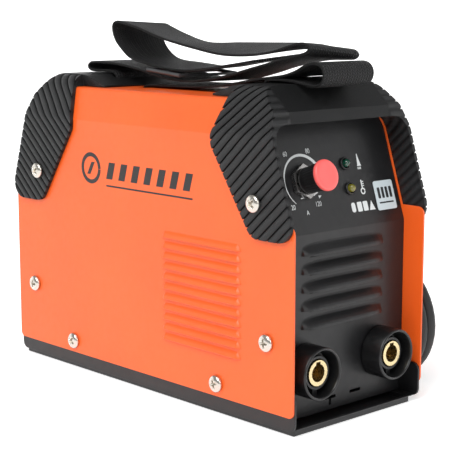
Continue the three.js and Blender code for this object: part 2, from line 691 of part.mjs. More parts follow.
// ---- mains lead ----
const LEAD_START = [GLAND_X, PANEL_Y + 6 + GAP + RELIEF_LENGTH + GAP, GLAND_Z];
const LEAD_ROUTE = [
  LEAD_START, [37, 147, 23.6], [38.6, 157, 21.5], [44.5, 168, 16.6], [55.5, 175.4, 10.6], [68, 177, 6],
  [80, 173.6, 4.1], [90, 165, 3.9], [96, 153, 3.9], [98.6, 139, 3.9], [99.4, 120, 3.9], [99, 100, 3.9],
  [98, 80, 3.9], [97.6, 60, 3.9], [97.2, 44, 3.9], [95.6, 26, 3.9], [91.5, 7, 3.9], [85.6, -11, 3.9],
  [79.4, -27, 3.9], [74.8, -41, 4], [72.2, -52.6, 4.4],
];
const COIL_OUTER_R = COIL_MEAN_R + CORD_D * 1.5;
const COIL_INNER_R = COIL_MEAN_R - CORD_D * 1.5;
const COIL_HALF = CORD_D;
const COIL_CENTRE = [
  HALF_W + LOUVRE.rise + 0.4 + COIL_OUTER_R * Math.sin(COIL_LEAN) + COIL_HALF * Math.cos(COIL_LEAN),
  COIL_Y,
  GAP + COIL_OUTER_R * Math.cos(COIL_LEAN) + COIL_HALF * Math.sin(COIL_LEAN),
];
const PLUG = {
  x: 73.5, z: 18.4, bootFrom: 27.4, bootTo: 52, face: 90, radius: 18, pinGap: 9.5, pinR: 2.4, pinLength: 19,
};
const TAIL_ROUTE = [
  [60.4, -33.2, 32.6], [62.6, -24, 25.6], [66.6, -9, 20.2], [71.4, 9, 18.5],
  [PLUG.x, PLUG.bootFrom - 3 * GAP, PLUG.z],
];

function cordTube(route, steps) {
  const curve = new THREE.CatmullRomCurve3(route.map((p) => new THREE.Vector3(...p)), false, 'centripetal');
  const section = new THREE.Shape();
  section.absarc(0, 0, CORD_D / 2, 0, 2 * Math.PI, false);
  const sweep = { steps, curveSegments: 4, bevelEnabled: false, extrudePath: curve };
  return new THREE.ExtrudeGeometry(section, sweep);
}

function makeLead() {
  put('power_cord', cordTube(LEAD_ROUTE, 28), 'webbing');
  put('power_cord_tail', cordTube(TAIL_ROUTE, 6), 'webbing');
  const soft = CORD_D * 0.35;
  const coil = turned([
    [COIL_INNER_R, -COIL_HALF + soft], [COIL_INNER_R + soft, -COIL_HALF], [COIL_OUTER_R - soft, -COIL_HALF],
    [COIL_OUTER_R, -COIL_HALF + soft], [COIL_OUTER_R, COIL_HALF - soft], [COIL_OUTER_R - soft, COIL_HALF],
    [COIL_INNER_R + soft, COIL_HALF], [COIL_INNER_R, COIL_HALF - soft], [COIL_INNER_R, -COIL_HALF + soft],
  ], 28, 'x');
  const ring = put('power_cord_coil', coil, 'webbing');
  ring.rotation.y = -COIL_LEAN;
  ring.position.set(...COIL_CENTRE);
  const body = turned([
    [0, PLUG.bootFrom], [4.6, PLUG.bootFrom], [6.6, PLUG.bootTo], [11, PLUG.bootTo + 2],
    [14, PLUG.bootTo + 12], [PLUG.radius, PLUG.bootTo + 20], [PLUG.radius, PLUG.face - 2],
    [PLUG.radius - 1.5, PLUG.face], [0, PLUG.face],
  ], 24);
  put('plug_body', body, 'plastic').position.set(PLUG.x, 0, PLUG.z);
  for (const [name, side] of [['plug_pin_left', -1], ['plug_pin_right', 1]]) {
    const tip = PLUG.face + PLUG.pinLength;
    const pin = turned([
      [0, PLUG.face + GAP], [PLUG.pinR, PLUG.face + GAP], [PLUG.pinR, tip - 2],
      [PLUG.pinR / 2, tip], [0, tip],
    ], 10);
    put(name, pin, 'brass').position.set(PLUG.x + side * PLUG.pinGap, 0, PLUG.z);
  }
}

// ---- shoulder strap ----
// The folded webbing's middle line from its end in the front slot to its free end: y, z, and how much its
// right edge stands above its left edge, per millimetre of width.
const STRAP_ROUTE = [
  [-63.8, 160, 0], [-63.8, 167, 0], [-64.2, 171.5, 0], [-66.6, 174.7, 0], [-71, 175.5, 0], [-86, 175.2, 0],
  [-93, 174.2, 0], [-101, 173.3, 0], [-105.9, 175.2, 0], [-107.6, 179.2, 0], [-105.9, 183.2, 0],
  [-101, 184.8, 0], [-95, 183.6, 0], [-88, 180.4, 0], [-80, 178, 0], [-70, 176.9, 0.02], [-58, 175.4, 0.02],
  [-44, 172.6, 0], [-28, 170.4, 0], [-10, 169.3, 0], [10, 168.9, 0], [24, 168.7, 0], [30, 168.3, 0],
  [33.8, 166.9, 0], [36.6, 164.3, 0], [41, 163, 0], [47, 162.7, 0], [53, 163, 0], [57.4, 164.6, 0],
  [59, 167.6, 0], [59.2, 171.2, 0], [61, 174.4, 0], [65.4, 175.4, 0], [80, 175.3, 0], [84.6, 175.8, 0],
  [86.6, 177.7, 0], [84.6, 179.6, 0], [79, 180.2, 0], [62, 179.9, 0], [46, 178.4, 0], [28, 175.4, 0],
  [16, 173.4, 0], [4, 172.3, 0], [-8, 172.3, 0], [-22, 173.8, 0], [-38, 176.9, 0.02], [-54, 180.9, 0.03],
  [-66, 183.5, 0.02], [-78, 185.9, -0.02], [-90, 187.3, -0.07], [-95.6, 188.4, -0.1], [-97.6, 190.4, -0.11],
  [-95.4, 192.2, -0.11], [-90, 192.6, -0.1], [-82, 192, -0.04], [-70, 191.2, 0.08],
  [-55, 190.5, 0.14], [-33, 190.2, 0.14], [-8.5, 191.6, 0.045], [19.6, 194, -0.1], [40, 199, -0.12],
  [52, 202, -0.08], [58.4, 203.4, -0.05], [61.4, 202.4, -0.045], [62.2, 199.6, -0.05], [61.2, 195.6, -0.06],
  [58.8, 191.6, -0.07], [54.5, 187.7, -0.08], [48.8, 184, -0.06], [42.3, 182, -0.045], [28, 180.2, 0],
  [16, 179, 0.02], [8, 178.4, 0.02], [-6, 178.8, 0.04], [-23.4, 181, 0.06], [-44, 184, 0.07],
  [-56, 185.8, 0.07],
];
const STRAP_STEPS = 150;
const ROLL_SCALE = 100;          // brings the third number to the order of the other two

function makeStrap() {
  const route = STRAP_ROUTE.map(([y, z, roll]) => new THREE.Vector3(y, z, roll * ROLL_SCALE));
  const curve = new THREE.CatmullRomCurve3(route, false, 'centripetal');
  const half = STRAP_WIDTH / 2;
  const rings = [];
  for (let i = 0; i <= STRAP_STEPS; i += 1) {
    const here = curve.getPointAt(i / STRAP_STEPS);
    const on = curve.getTangentAt(i / STRAP_STEPS);
    const out = new THREE.Vector2(-on.y, on.x).normalize().multiplyScalar(STRAP_THICK / 2);
    const roll = here.z / ROLL_SCALE;
    rings.push([[-half, 1], [half, 1], [half, -1], [-half, -1]].map(([x, side]) => (
      new THREE.Vector3(x, here.x + side * out.x, here.y + side * out.y + roll * x)
    )));
  }
  put('strap', solid(skin(rings)), 'webbing');
}

const SLIDER = {
  halfWide: 22.5, halfLong: 15.5, thick: 1.4, barHalf: 1.8, windowHalf: 19.6, windowEnd: 12.4,
};

function makeSlider() {
  const { halfWide, halfLong, thick, barHalf, windowHalf, windowEnd } = SLIDER;
  const corners = [
    [-halfWide, -halfLong, 2], [halfWide, -halfLong, 2], [halfWide, halfLong, 2], [-halfWide, halfLong, 2],
  ];
  const frame = cut(
    solid(prism(outline(corners, 3), 'z', -thick / 2, thick / 2)),
    solid(box([-windowHalf, windowHalf], [-windowEnd, -barHalf], [-thick, thick])),
    solid(box([-windowHalf, windowHalf], [barHalf, windowEnd], [-thick, thick])),
  );
  const slider = put('strap_slider', frame, 'plastic');
  slider.rotation.x = THREE.MathUtils.degToRad(5);
  slider.position.set(0, 13, 176.4);
}

// ---- inside ----
function heatSink(x0, x1, finsFrom) {
  const low = 22;
  const high = 74;
  const fins = 6;
  const pitch = (high - low) / fins;
  const base = x0 < 0 ? [x1 - 4, x1] : [x0, x0 + 4];
  let sink = solid(box(base, finsFrom, [low, high]));
  for (let i = 0; i <= fins; i += 1) {
    const z = low + i * pitch;
    sink = sink.add(solid(box([x0, x1], finsFrom, [Math.min(z, high - 2), Math.min(z, high - 2) + 2])));
  }
  return sink;
}

function makeInside() {
  put('main_board', box([-41, 41], [-78, 84], [BOARD_Z, BOARD_Z + 1.6]), 'board');
  put('heat_sink_left', heatSink(-44, -26, [-70, 10]), 'aluminium');
  put('heat_sink_right', heatSink(26, 44, [-70, 10]), 'aluminium');
  const deck = BOARD_Z + 1.6 + GAP;
  put('transformer_core', cut(
    solid(box([-21, 21], [-50, -16], [deck, deck + 36])),
    solid(box([-15, -6], [-52, -14], [deck + 6, deck + 30])),
    solid(box([6, 15], [-52, -14], [deck + 6, deck + 30])),
  ), 'ferrite');
  put('transformer_winding', cut(
    solid(box([-14.6, 14.6], [-57, -9], [deck + 6.4, deck + 29.6])),
    solid(box([-6.4, 6.4], [-50.4, -15.6], [deck, deck + 40])),
  ), 'copper');
  for (const [name, x] of [['capacitor_left', -15], ['capacitor_right', 15]]) {
    put(name, rod(12.5, deck, deck + 42, 20, 'z').translate(x, 22, 0), 'plastic');
  }
  put('bridge_rectifier', box([-14, 14], [46, 56], [deck, deck + 28]), 'plastic');
  const board = onLean(-1, 0, 26);
  put('control_board', box([-40, 40], [-16, -14.4], [-20, 20]), 'board', board);
}

makeCover();
makeTray();
makeFrontPanel();
makeRearPanel();
makeBumper('front_bumper', -1);
makeBumper('rear_bumper', 1);
makeScrews();
makeSocket('socket_plus', -SOCKET_X);
makeSocket('socket_minus', SOCKET_X);
makeCurrentControl();
makeLamp('led_green');
makeLamp('led_amber');
makeLabel();
makeFan();
makeSwitch();
makeGland();
makeLead();
makeStrap();
makeSlider();
makeInside();

export default group;
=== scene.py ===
"""Looks of a stick welding inverter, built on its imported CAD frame. Metres, +Z up, the front faces -Y."""

import math

import bmesh
import bpy
import numpy as np
from mathutils import Euler, Matrix, Vector


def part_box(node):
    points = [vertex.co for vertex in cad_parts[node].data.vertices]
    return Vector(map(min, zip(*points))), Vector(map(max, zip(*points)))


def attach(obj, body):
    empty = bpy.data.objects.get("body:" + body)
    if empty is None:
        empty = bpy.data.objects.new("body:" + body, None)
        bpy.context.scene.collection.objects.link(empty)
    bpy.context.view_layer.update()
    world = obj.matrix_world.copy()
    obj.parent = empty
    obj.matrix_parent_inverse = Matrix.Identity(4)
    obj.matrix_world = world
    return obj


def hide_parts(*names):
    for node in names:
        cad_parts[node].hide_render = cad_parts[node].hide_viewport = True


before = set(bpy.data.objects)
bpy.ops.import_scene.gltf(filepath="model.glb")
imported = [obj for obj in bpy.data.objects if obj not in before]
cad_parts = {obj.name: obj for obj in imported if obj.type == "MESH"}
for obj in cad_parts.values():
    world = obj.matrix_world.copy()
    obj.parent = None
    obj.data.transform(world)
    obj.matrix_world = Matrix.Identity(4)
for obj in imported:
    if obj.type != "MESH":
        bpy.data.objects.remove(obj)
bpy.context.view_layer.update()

MM = 0.001
SIDES = (-1, 1)
WALL = 50 * MM  # from the middle of the case to the outside of its flat side
LEAN = math.radians(18)


def middle(node):
    low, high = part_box(node)
    return (Vector(low) + Vector(high)) / 2


def extent(node):
    low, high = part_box(node)
    return Vector(low), Vector(high)


# ---- camera ----
def make_camera():
    data = bpy.data.cameras.new("camera")
    data.lens = 104.6
    data.sensor_width = 36
    data.clip_start = 0.01
    camera = bpy.data.objects.new("camera", data)
    camera.location = (-0.5073, -0.5643, 0.2133)
    camera.rotation_euler = (math.radians(80.49), 0, math.radians(-42.89))
    bpy.context.scene.collection.objects.link(camera)
    bpy.context.scene.camera = camera


make_camera()
bpy.context.scene.view_settings.view_transform = "Standard"


# ---- materials ----
class Shader:
    """A node tree with short calls for the nodes that the materials need."""

    def __init__(self, name):
        self.material = bpy.data.materials.new(name)
        self.material.use_nodes = True
        self.tree = self.material.node_tree
        self.tree.nodes.clear()
        self.out = self.tree.nodes.new("ShaderNodeOutputMaterial")
        self.bsdf = self.tree.nodes.new("ShaderNodeBsdfPrincipled")
        self.tree.links.new(self.bsdf.outputs[0], self.out.inputs[0])
        self.place = self.tree.nodes.new("ShaderNodeTexCoord").outputs["Object"]

    def put(self, kind, inputs=(), output=0, **settings):
        node = self.tree.nodes.new(kind)
        for key, value in settings.items():
            setattr(node, key, value)
        for key, value in dict(inputs).items():
            self.feed(node.inputs[key], value)
        return node.outputs[output]

    def feed(self, socket, value):
        if isinstance(value, bpy.types.NodeSocket):
            self.tree.links.new(value, socket)
        else:
            socket.default_value = value

    def set(self, name, value):
        self.feed(self.bsdf.inputs[name], value)

    def math(self, operation, a, b=0.0, c=0.0):
        return self.put("ShaderNodeMath", {0: a, 1: b, 2: c}, operation=operation)

    def noise(self, scale, detail=4.0, rough=0.55, place=None):
        return self.put(
            "ShaderNodeTexNoise",
            {"Vector": place or self.place, "Scale": scale, "Detail": detail, "Roughness": rough},
        )

    def remap(self, value, low, high, to_low, to_high, smooth=False):
        return self.put(
            "ShaderNodeMapRange",
            {"Value": value, "From Min": low, "From Max": high, "To Min": to_low, "To Max": to_high},
            interpolation_type="SMOOTHSTEP" if smooth else "LINEAR",
        )

    def mix(self, value, colour_a, colour_b):
        node = self.tree.nodes.new("ShaderNodeMix")
        node.data_type = "RGBA"
        self.feed(node.inputs[0], value)
        self.feed(node.inputs[6], colour_a)
        self.feed(node.inputs[7], colour_b)
        return node.outputs[2]

    def bumps(self, *layers, edge=0.0):
        """Layers of (height, distance in metres), on edges rounded by that radius."""
        normal = self.put("ShaderNodeBevel", {"Radius": edge}, samples=4) if edge else None
        for height, distance in layers:
            inputs = {"Height": height, "Distance": distance, "Strength": 1.0}
            if normal:
                inputs["Normal"] = normal
            normal = self.put("ShaderNodeBump", inputs)
        if normal:
            self.set("Normal", normal)


def rgb(r, g, b):
    return (r, g, b, 1.0)


def powder_coat(name, colour, darker, rough, edge=0.5 * MM, coat=0.0):
    s = Shader(name)
    s.set("Base Color", s.mix(s.remap(s.noise(18), 0.35, 0.7, 0, 1), colour, darker))
    s.set("Roughness", s.remap(s.noise(260, 2), 0.3, 0.7, rough - 0.05, rough + 0.06))
    s.set("Coat Weight", coat)
    s.set("Coat Roughness", 0.12)
    s.bumps((s.noise(900, 3), 0.03 * MM), (s.noise(3200, 2), 0.012 * MM), edge=edge)
    return s.material


def moulded(name, colour, rough, grain=2600, depth=0.02 * MM, edge=0.35 * MM, spread=0.25, specular=0.5):
    s = Shader(name)
    lighter = tuple(min(1.0, c * (1 + spread) + 0.002) for c in colour[:3]) + (1.0,)
    s.set("Base Color", s.mix(s.remap(s.noise(45), 0.35, 0.7, 0, 1), colour, lighter))
    s.set("Roughness", s.remap(s.noise(400, 3), 0.3, 0.7, rough - 0.06, rough + 0.06))
    s.set("Specular IOR Level", specular)
    s.bumps((s.noise(grain, 3), depth), edge=edge)
    return s.material


def metal(name, colour, rough, scratch=600, depth=0.006 * MM, edge=0.2 * MM):
    s = Shader(name)
    tint = tuple(c * 0.88 for c in colour[:3]) + (1.0,)
    s.set("Base Color", s.mix(s.noise(120), colour, tint))
    s.set("Metallic", 1.0)
    s.set("Roughness", s.remap(s.noise(scratch, 5, 0.7), 0.3, 0.7, max(0.04, rough - 0.08), rough + 0.1))
    s.bumps((s.noise(scratch * 2, 4), depth), edge=edge)
    return s.material


def turned_metal(name, colour, rough, node):
    """Lathe marks run round the node's own axis, which lies along Y."""
    s = Shader(name)
    s.set("Base Color", s.mix(s.noise(150), colour, tuple(c * 0.85 for c in colour[:3]) + (1.0,)))
    s.set("Metallic", 1.0)
    centre = middle(node)
    moved = s.put("ShaderNodeVectorMath", {0: s.place, 1: tuple(-centre)}, operation="ADD")
    flat = s.put("ShaderNodeVectorMath", {0: moved, 1: (1, 0, 1)}, operation="MULTIPLY")
    radius = s.put("ShaderNodeVectorMath", {0: flat}, output="Value", operation="LENGTH")
    rings = s.math("SINE", s.math("MULTIPLY", radius, 2 * math.pi / (0.28 * MM)))
    s.set("Roughness", s.remap(s.noise(700, 4), 0.3, 0.7, rough - 0.06, rough + 0.1))
    s.bumps((rings, 0.006 * MM), (s.noise(1500), 0.004 * MM), edge=0.25 * MM)
    return s.material


def lens(name, colour, glow):
    s = Shader(name)
    s.set("Base Color", s.mix(s.remap(s.noise(700), 0.35, 0.7, 0, 1), colour, glow))
    s.set("Roughness", s.remap(s.noise(500), 0.3, 0.7, 0.1, 0.2))
    s.set("Coat Weight", 1.0)
    s.set("Coat Roughness", 0.04)
    s.set("Subsurface Weight", 0.25)
    s.set("Subsurface Radius", (0.002, 0.002, 0.002))
    s.bumps((s.noise(300), 0.02 * MM))
    return s.material


RIB_PITCH = 4.5 * MM
RIB_ANGLE = math.radians(42)
RIB_START = (90, 130)  # a point on a groove: how far from the middle along Y, and Z


def ribbed_plastic(name):
    """Matt grained plastic whose ribs have a rounded crest between the grooves of the solid, with the crests
    painted lighter as a painted highlight.
    """
    pitch = RIB_PITCH
    angle = RIB_ANGLE
    start = (-math.sin(angle) * RIB_START[0] + math.cos(angle) * RIB_START[1]) * MM
    s = Shader(name)
    axes = s.tree.nodes.new("ShaderNodeSeparateXYZ")
    s.feed(axes.inputs[0], s.place)
    along = s.math("MULTIPLY", s.math("ABSOLUTE", axes.outputs[1]), -math.sin(angle))
    across = s.math("ADD", along, s.math("MULTIPLY", axes.outputs[2], math.cos(angle)))
    turn = s.math("FRACT", s.math("ADD", s.math("DIVIDE", s.math("SUBTRACT", across, start), pitch), 20.5))
    away = s.math("ABSOLUTE", s.math("SUBTRACT", turn, 0.5))
    crest = s.remap(away, 0.02, 0.42, 0, 1, True)
    outside = s.remap(s.math("ABSOLUTE", axes.outputs[0]), 37 * MM, 39 * MM, 0, 1)
    ribs = s.math("MULTIPLY", crest, outside)
    fine = s.noise(2400, 3)
    wear = s.remap(s.noise(60, 5, 0.7), 0.45, 0.75, 0, 1)
    base = s.mix(wear, rgb(0.0055, 0.0056, 0.006), rgb(0.0085, 0.0087, 0.009))
    # The rib crests are painted lighter than the grooves: a painted highlight on the crests and painted shade
    # in the grooves of the plain black plastic.
    s.set("Base Color", s.mix(s.math("MULTIPLY", ribs, 0.7), base, rgb(0.026, 0.0262, 0.0275)))
    s.set("Roughness", s.remap(fine, 0.3, 0.7, 0.42, 0.6))
    s.set("Specular IOR Level", 0.3)
    s.bumps((ribs, 0.45 * MM), (fine, 0.03 * MM), edge=0.4 * MM)
    return s.material


def webbing(name):
    """Heavy twill webbing: slanted yarns in rows, read from the strap's own length and width, with a painted
    sheen on the yarn crests.
    """
    s = Shader(name)
    along = s.put("ShaderNodeAttribute", output="Fac", attribute_name="along")
    across = s.put("ShaderNodeAttribute", output="Fac", attribute_name="across")
    row = s.math("DIVIDE", across, 1.9 * MM)
    inside = s.math("FRACT", row)
    parity = s.math("SUBTRACT", s.math("MULTIPLY", s.math("MODULO", s.math("FLOOR", row), 2), 2), 1)
    slant = s.math("MULTIPLY", s.math("SUBTRACT", inside, 0.5), s.math("MULTIPLY", parity, 0.9))
    yarn = s.math("FRACT", s.math("ADD", s.math("DIVIDE", along, 1.45 * MM), slant))
    ridge = s.math("SINE", s.math("MULTIPLY", yarn, math.pi))
    column = s.math("SINE", s.math("MULTIPLY", inside, math.pi))
    height = s.math("MULTIPLY", s.math("POWER", ridge, 0.8), s.math("POWER", column, 0.5))
    fibre = s.noise(6000, 2)
    # The yarn crests are painted lighter than the hollows between them: a painted sheen on the crests and
    # painted shade in the hollows.
    s.set("Base Color", s.mix(height, rgb(0.0008, 0.0008, 0.0009), rgb(0.017, 0.017, 0.018)))
    s.set("Roughness", s.remap(fibre, 0.3, 0.7, 0.5, 0.7))
    s.set("Specular IOR Level", 0.25)
    s.bumps((height, 0.5 * MM), (fibre, 0.03 * MM))
    return s.material


def rubber(name, colour, grain=1800):
    s = Shader(name)
    lighter = tuple(c * 1.5 for c in colour[:3]) + (1.0,)
    s.set("Base Color", s.mix(s.remap(s.noise(70), 0.35, 0.7, 0, 1), colour, lighter))
    s.set("Roughness", s.remap(s.noise(grain, 3), 0.3, 0.7, 0.48, 0.66))
    s.bumps((s.noise(grain, 3), 0.03 * MM))
    return s.material


def board_green(name):
    s = Shader(name)
    brick = {"Vector": s.place, "Scale": 90.0, "Mortar Size": 0.012}
    tracks = s.put("ShaderNodeTexBrick", brick, output="Fac")
    s.set("Base Color", s.mix(tracks, rgb(0.012, 0.11, 0.04), rgb(0.03, 0.2, 0.08)))
    s.set("Roughness", s.remap(s.noise(500), 0.3, 0.7, 0.3, 0.45))
    s.bumps((tracks, 0.05 * MM), edge=0.1 * MM)
    return s.material


def print_white(name, colour):
    s = Shader(name)
    s.set("Base Color", s.mix(s.noise(1500), colour, tuple(c * 0.9 for c in colour[:3]) + (1.0,)))
    s.set("Roughness", s.remap(s.noise(900), 0.3, 0.7, 0.4, 0.55))
    s.bumps((s.noise(2500), 0.01 * MM))
    return s.material


MAT = {
    "orange": powder_coat("orange_coat", rgb(0.90, 0.120, 0.012), rgb(0.86, 0.108, 0.010), 0.42, coat=0.1),
    "sheet": powder_coat(
        "black_coat", rgb(0.0085, 0.0085, 0.0095), rgb(0.006, 0.006, 0.0068), 0.4, edge=0.6 * MM),
    "bumper": ribbed_plastic("bumper_ribbed"),
    "screw": metal("bright_nickel", rgb(0.70, 0.665, 0.60), 0.2),
    "nut": metal("nut_nickel", rgb(0.42, 0.41, 0.40), 0.26, scratch=200, depth=0.002 * MM),
    "can": metal("steel_can", rgb(0.45, 0.45, 0.46), 0.35),
    "shaft": metal("turned_shaft", rgb(0.6, 0.6, 0.6), 0.25),
    "knob": moulded("knob_plastic", rgb(0.006, 0.006, 0.0065), 0.36, grain=1200, depth=0.008 * MM),
    "cap": moulded("cap_plastic", rgb(0.93, 0.13, 0.12), 0.4, spread=0.05),
    "green": lens("lamp_green", rgb(0.002, 0.035, 0.018), rgb(0.004, 0.07, 0.04)),
    "amber": lens("lamp_amber", rgb(0.13, 0.115, 0.008), rgb(0.22, 0.2, 0.02)),
    "bezel": moulded("bezel_plastic", rgb(0.012, 0.012, 0.012), 0.4),
    "label": print_white("label_grey", rgb(0.60, 0.68, 0.71)),
    "ink": print_white("label_ink", rgb(0.018, 0.02, 0.022)),
    "white": print_white("panel_print", rgb(0.75, 0.78, 0.78)),
    "graphic": print_white("case_print", rgb(0.012, 0.011, 0.011)),
    "socket": moulded("socket_plastic", rgb(0.0045, 0.0045, 0.005), 0.34, grain=1500, edge=0.0),
    "brass_plus": turned_metal("brass_plus", rgb(0.86, 0.70, 0.40), 0.24, "socket_plus_contact"),
    "brass_minus": turned_metal("brass_minus", rgb(0.86, 0.70, 0.40), 0.24, "socket_minus_contact"),
    "copper": metal("copper_bar", rgb(0.72, 0.38, 0.2), 0.3),
    "board": board_green("board_green"),
    "aluminium": metal("extruded_aluminium", rgb(0.7, 0.71, 0.72), 0.4, scratch=300),
    "ferrite": moulded("ferrite_grey", rgb(0.05, 0.05, 0.055), 0.6, grain=1200, depth=0.05 * MM),
    "sleeve": moulded("sleeve_black", rgb(0.012, 0.012, 0.03), 0.3),
    "epoxy": moulded("epoxy_black", rgb(0.015, 0.015, 0.015), 0.45),
    "fan": moulded("fan_plastic", rgb(0.012, 0.012, 0.012), 0.42),
    "wire": metal("grille_wire", rgb(0.72, 0.71, 0.69), 0.2),
    "switch": moulded("switch_plastic", rgb(0.010, 0.010, 0.010), 0.25),
    "gland": moulded("gland_nylon", rgb(0.012, 0.012, 0.012), 0.45),
    "cord": rubber("cord_rubber", rgb(0.012, 0.012, 0.0125)),
    "plug": rubber("plug_rubber", rgb(0.014, 0.014, 0.0145), 1400),
    "pin": metal("plated_pin", rgb(0.75, 0.72, 0.66), 0.22),
    "strap": webbing("strap_webbing"),
    "slider": moulded("slider_plastic", rgb(0.045, 0.046, 0.048), 0.42),
    "tie": rubber("tie_rubber", rgb(0.008, 0.008, 0.009), 900),
}

# Which finish each CAD node that stays takes.
KEPT = {
    "cover": "orange", "base_tray": "sheet", "front_panel": "sheet", "rear_panel": "sheet",
    "pot_body": "can", "pot_shaft": "shaft", "pot_nut": "nut",
    "socket_plus_nut": "nut", "socket_minus_nut": "nut", "busbar_plus": "copper", "busbar_minus": "copper",
    "main_board": "board", "control_board": "board",
    "heat_sink_left": "aluminium", "heat_sink_right": "aluminium",
    "transformer_core": "ferrite", "transformer_winding": "copper", "capacitor_left": "sleeve",
    "capacitor_right": "sleeve", "bridge_rectifier": "epoxy", "fan_frame": "fan", "switch_housing": "switch",
    "switch_rocker": "switch", "cable_gland": "gland", "socket_plus_contact": "brass_plus",
    "socket_minus_contact": "brass_minus", "front_bumper": "bumper", "rear_bumper": "bumper",
    "fan_rotor": "fan",
}


def finish_kept_nodes():
    for node, finish in KEPT.items():
        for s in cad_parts[node].material_slots:
            s.material = MAT[finish]


# ---- making pieces ----
def add(name, mesh, finish, body="machine", replaces=(), smooth=True):
    piece = bpy.data.objects.new(name, mesh)
    bpy.context.scene.collection.objects.link(piece)
    if finish:
        piece.data.materials.clear()
        piece.data.materials.append(MAT[finish])
    if smooth and piece.type == "MESH":
        piece.data.shade_smooth()
    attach(piece, body)
    if replaces:
        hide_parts(*replaces)
    return piece


def mesh_of(name, vertices, faces, angle=40):
    mesh = bpy.data.meshes.new(name)
    mesh.from_pydata([tuple(v) for v in vertices], [], faces)
    work = bmesh.new()
    work.from_mesh(mesh)
    bmesh.ops.recalc_face_normals(work, faces=work.faces)
    for edge in work.edges:
        edge.smooth = len(edge.link_faces) < 2 or edge.calc_face_angle(0) < math.radians(angle)
    work.to_mesh(mesh)
    work.free()
    return mesh


def lathe(name, profile, sides, place, wobble=None, angle=40):
    """Turns a closed or end-capped profile of (radius, height) in mm about the local Z axis."""
    vertices, faces, rings = [], [], []
    for r, h in profile:
        if r < 1e-6:
            rings.append([len(vertices)])
            vertices.append(place @ Vector((0, 0, h * MM)))
            continue
        ring = []
        for i in range(sides):
            a = 2 * math.pi * i / sides
            rr = r + (wobble(a, r, h) if wobble else 0)
            ring.append(len(vertices))
            vertices.append(place @ Vector((rr * MM * math.cos(a), rr * MM * math.sin(a), h * MM)))
        rings.append(ring)
    for low, high in zip(rings, rings[1:]):
        for i in range(sides):
            j = (i + 1) % sides
            if len(low) == 1 and len(high) > 1:
                faces.append((low[0], high[j], high[i]))
            elif len(high) == 1 and len(low) > 1:
                faces.append((low[i], low[j], high[0]))
            elif len(low) > 1:
                faces.append((low[i], low[j], high[j], high[i]))
    return mesh_of(name, vertices, faces, angle)


def towards(direction, origin):
    """A matrix whose Z axis points along direction, from origin."""
    return Matrix.Translation(origin) @ Vector(direction).to_track_quat("Z", "Y").to_matrix().to_4x4()


def tube(name, points, radius, sides=12, closed=False):
    """A round wire along points, as a mesh."""
    vertices, faces = [], []
    count = len(points)
    side = None
    for i, p in enumerate(points):
        after = points[(i + 1) % count] if closed or i + 1 < count else points[i]
        before = points[i - 1] if closed or i else points[i]
        on = (Vector(after) - Vector(before)).normalized()
        if side is None:
            side = on.orthogonal().normalized()
        side = (side - on * side.dot(on)).normalized()
        other = on.cross(side)
        for k in range(sides):
            a = 2 * math.pi * k / sides
            vertices.append(Vector(p) + (side * math.cos(a) + other * math.sin(a)) * radius)
    for i in range(count if closed else count - 1):
        j = (i + 1) % count
        for k in range(sides):
            m = (k + 1) % sides
            faces.append((i * sides + k, i * sides + m, j * sides + m, j * sides + k))
    if not closed:
        faces.append(tuple(range(sides - 1, -1, -1)))
        faces.append(tuple((count - 1) * sides + k for k in range(sides)))
    return mesh_of(name, vertices, faces, 60)


def plate(name, outlines, place, thick):
    """Flat shapes of (x, y) points in mm, raised by thick mm, in one mesh on the local XY plane."""
    vertices, faces = [], []
    for outline in outlines:
        base = len(vertices)
        count = len(outline)
        vertices += [place @ Vector((x * MM, y * MM, 0)) for x, y in outline]
        vertices += [place @ Vector((x * MM, y * MM, thick * MM)) for x, y in outline]
        faces.append(tuple(base + count + i for i in range(count)))
        faces.append(tuple(base + i for i in reversed(range(count))))
        for i in range(count):
            j = (i + 1) % count
            faces.append((base + i, base + j, base + count + j, base + count + i))
    return mesh_of(name, vertices, faces, 30)


def rounded(x0, y0, x1, y1, r, steps=4):
    points = []
    corners = ((x1 - r, y1 - r, 0), (x0 + r, y1 - r, 90), (x0 + r, y0 + r, 180), (x1 - r, y0 + r, 270))
    for cx, cy, start in corners:
        for i in range(steps + 1):
            a = math.radians(start + 90 * i / steps)
            points.append((cx + r * math.cos(a), cy + r * math.sin(a)))
    return points


def band(points, widths):
    """A strip along points in mm with a width at each, as one outline."""
    left, right = [], []
    for i, (x, y) in enumerate(points):
        before = points[max(0, i - 1)]
        after = points[min(len(points) - 1, i + 1)]
        dx, dy = after[0] - before[0], after[1] - before[1]
        size = math.hypot(dx, dy)
        nx, ny = -dy / size * widths[i] / 2, dx / size * widths[i] / 2
        left.append((x + nx, y + ny))
        right.append((x - nx, y - ny))
    return left + right[::-1]


# ---- the mains lead ----
RELIEF_LOW, RELIEF_HIGH = extent("strain_relief")
PLUG_LOW, PLUG_HIGH = extent("plug_body")
COIL_CENTRE = middle("power_cord_coil")
COIL_LEAN = math.radians(6)
COIL_AXIS = Vector((math.cos(COIL_LEAN), 0, math.sin(COIL_LEAN)))
COIL_UP = Vector((-math.sin(COIL_LEAN), 0, math.cos(COIL_LEAN)))
CORD_D = 7 * MM
COIL_MEAN_R = 27.5
COIL_TURNS = 6
POINTS_A_TURN = 18
LEAD_ROUTE = [
    (37, 138.1, 24), (37, 147, 23.6), (38.6, 157, 21.5), (44.5, 168, 16.6), (55.5, 175.4, 10.6), (68, 177, 6),
    (80, 173.6, 4.1), (90, 165, 3.9), (96, 153, 3.9), (98.6, 139, 3.9), (99.4, 120, 3.9), (99, 100, 3.9),
    (98, 80, 3.9), (97.6, 60, 3.9), (97.2, 44, 3.9), (95.6, 26, 3.9), (91.5, 7, 3.9), (85.6, -11, 3.9),
    (79.4, -27, 3.9), (74.8, -41, 4), (72.2, -52.6, 4.4),
]
TAIL_ROUTE = [(60.4, -33.2, 32.6), (62.6, -24, 25.6), (66.6, -9, 20.2), (71.4, 9, 18.5), (73.5, 26.5, 18.4)]


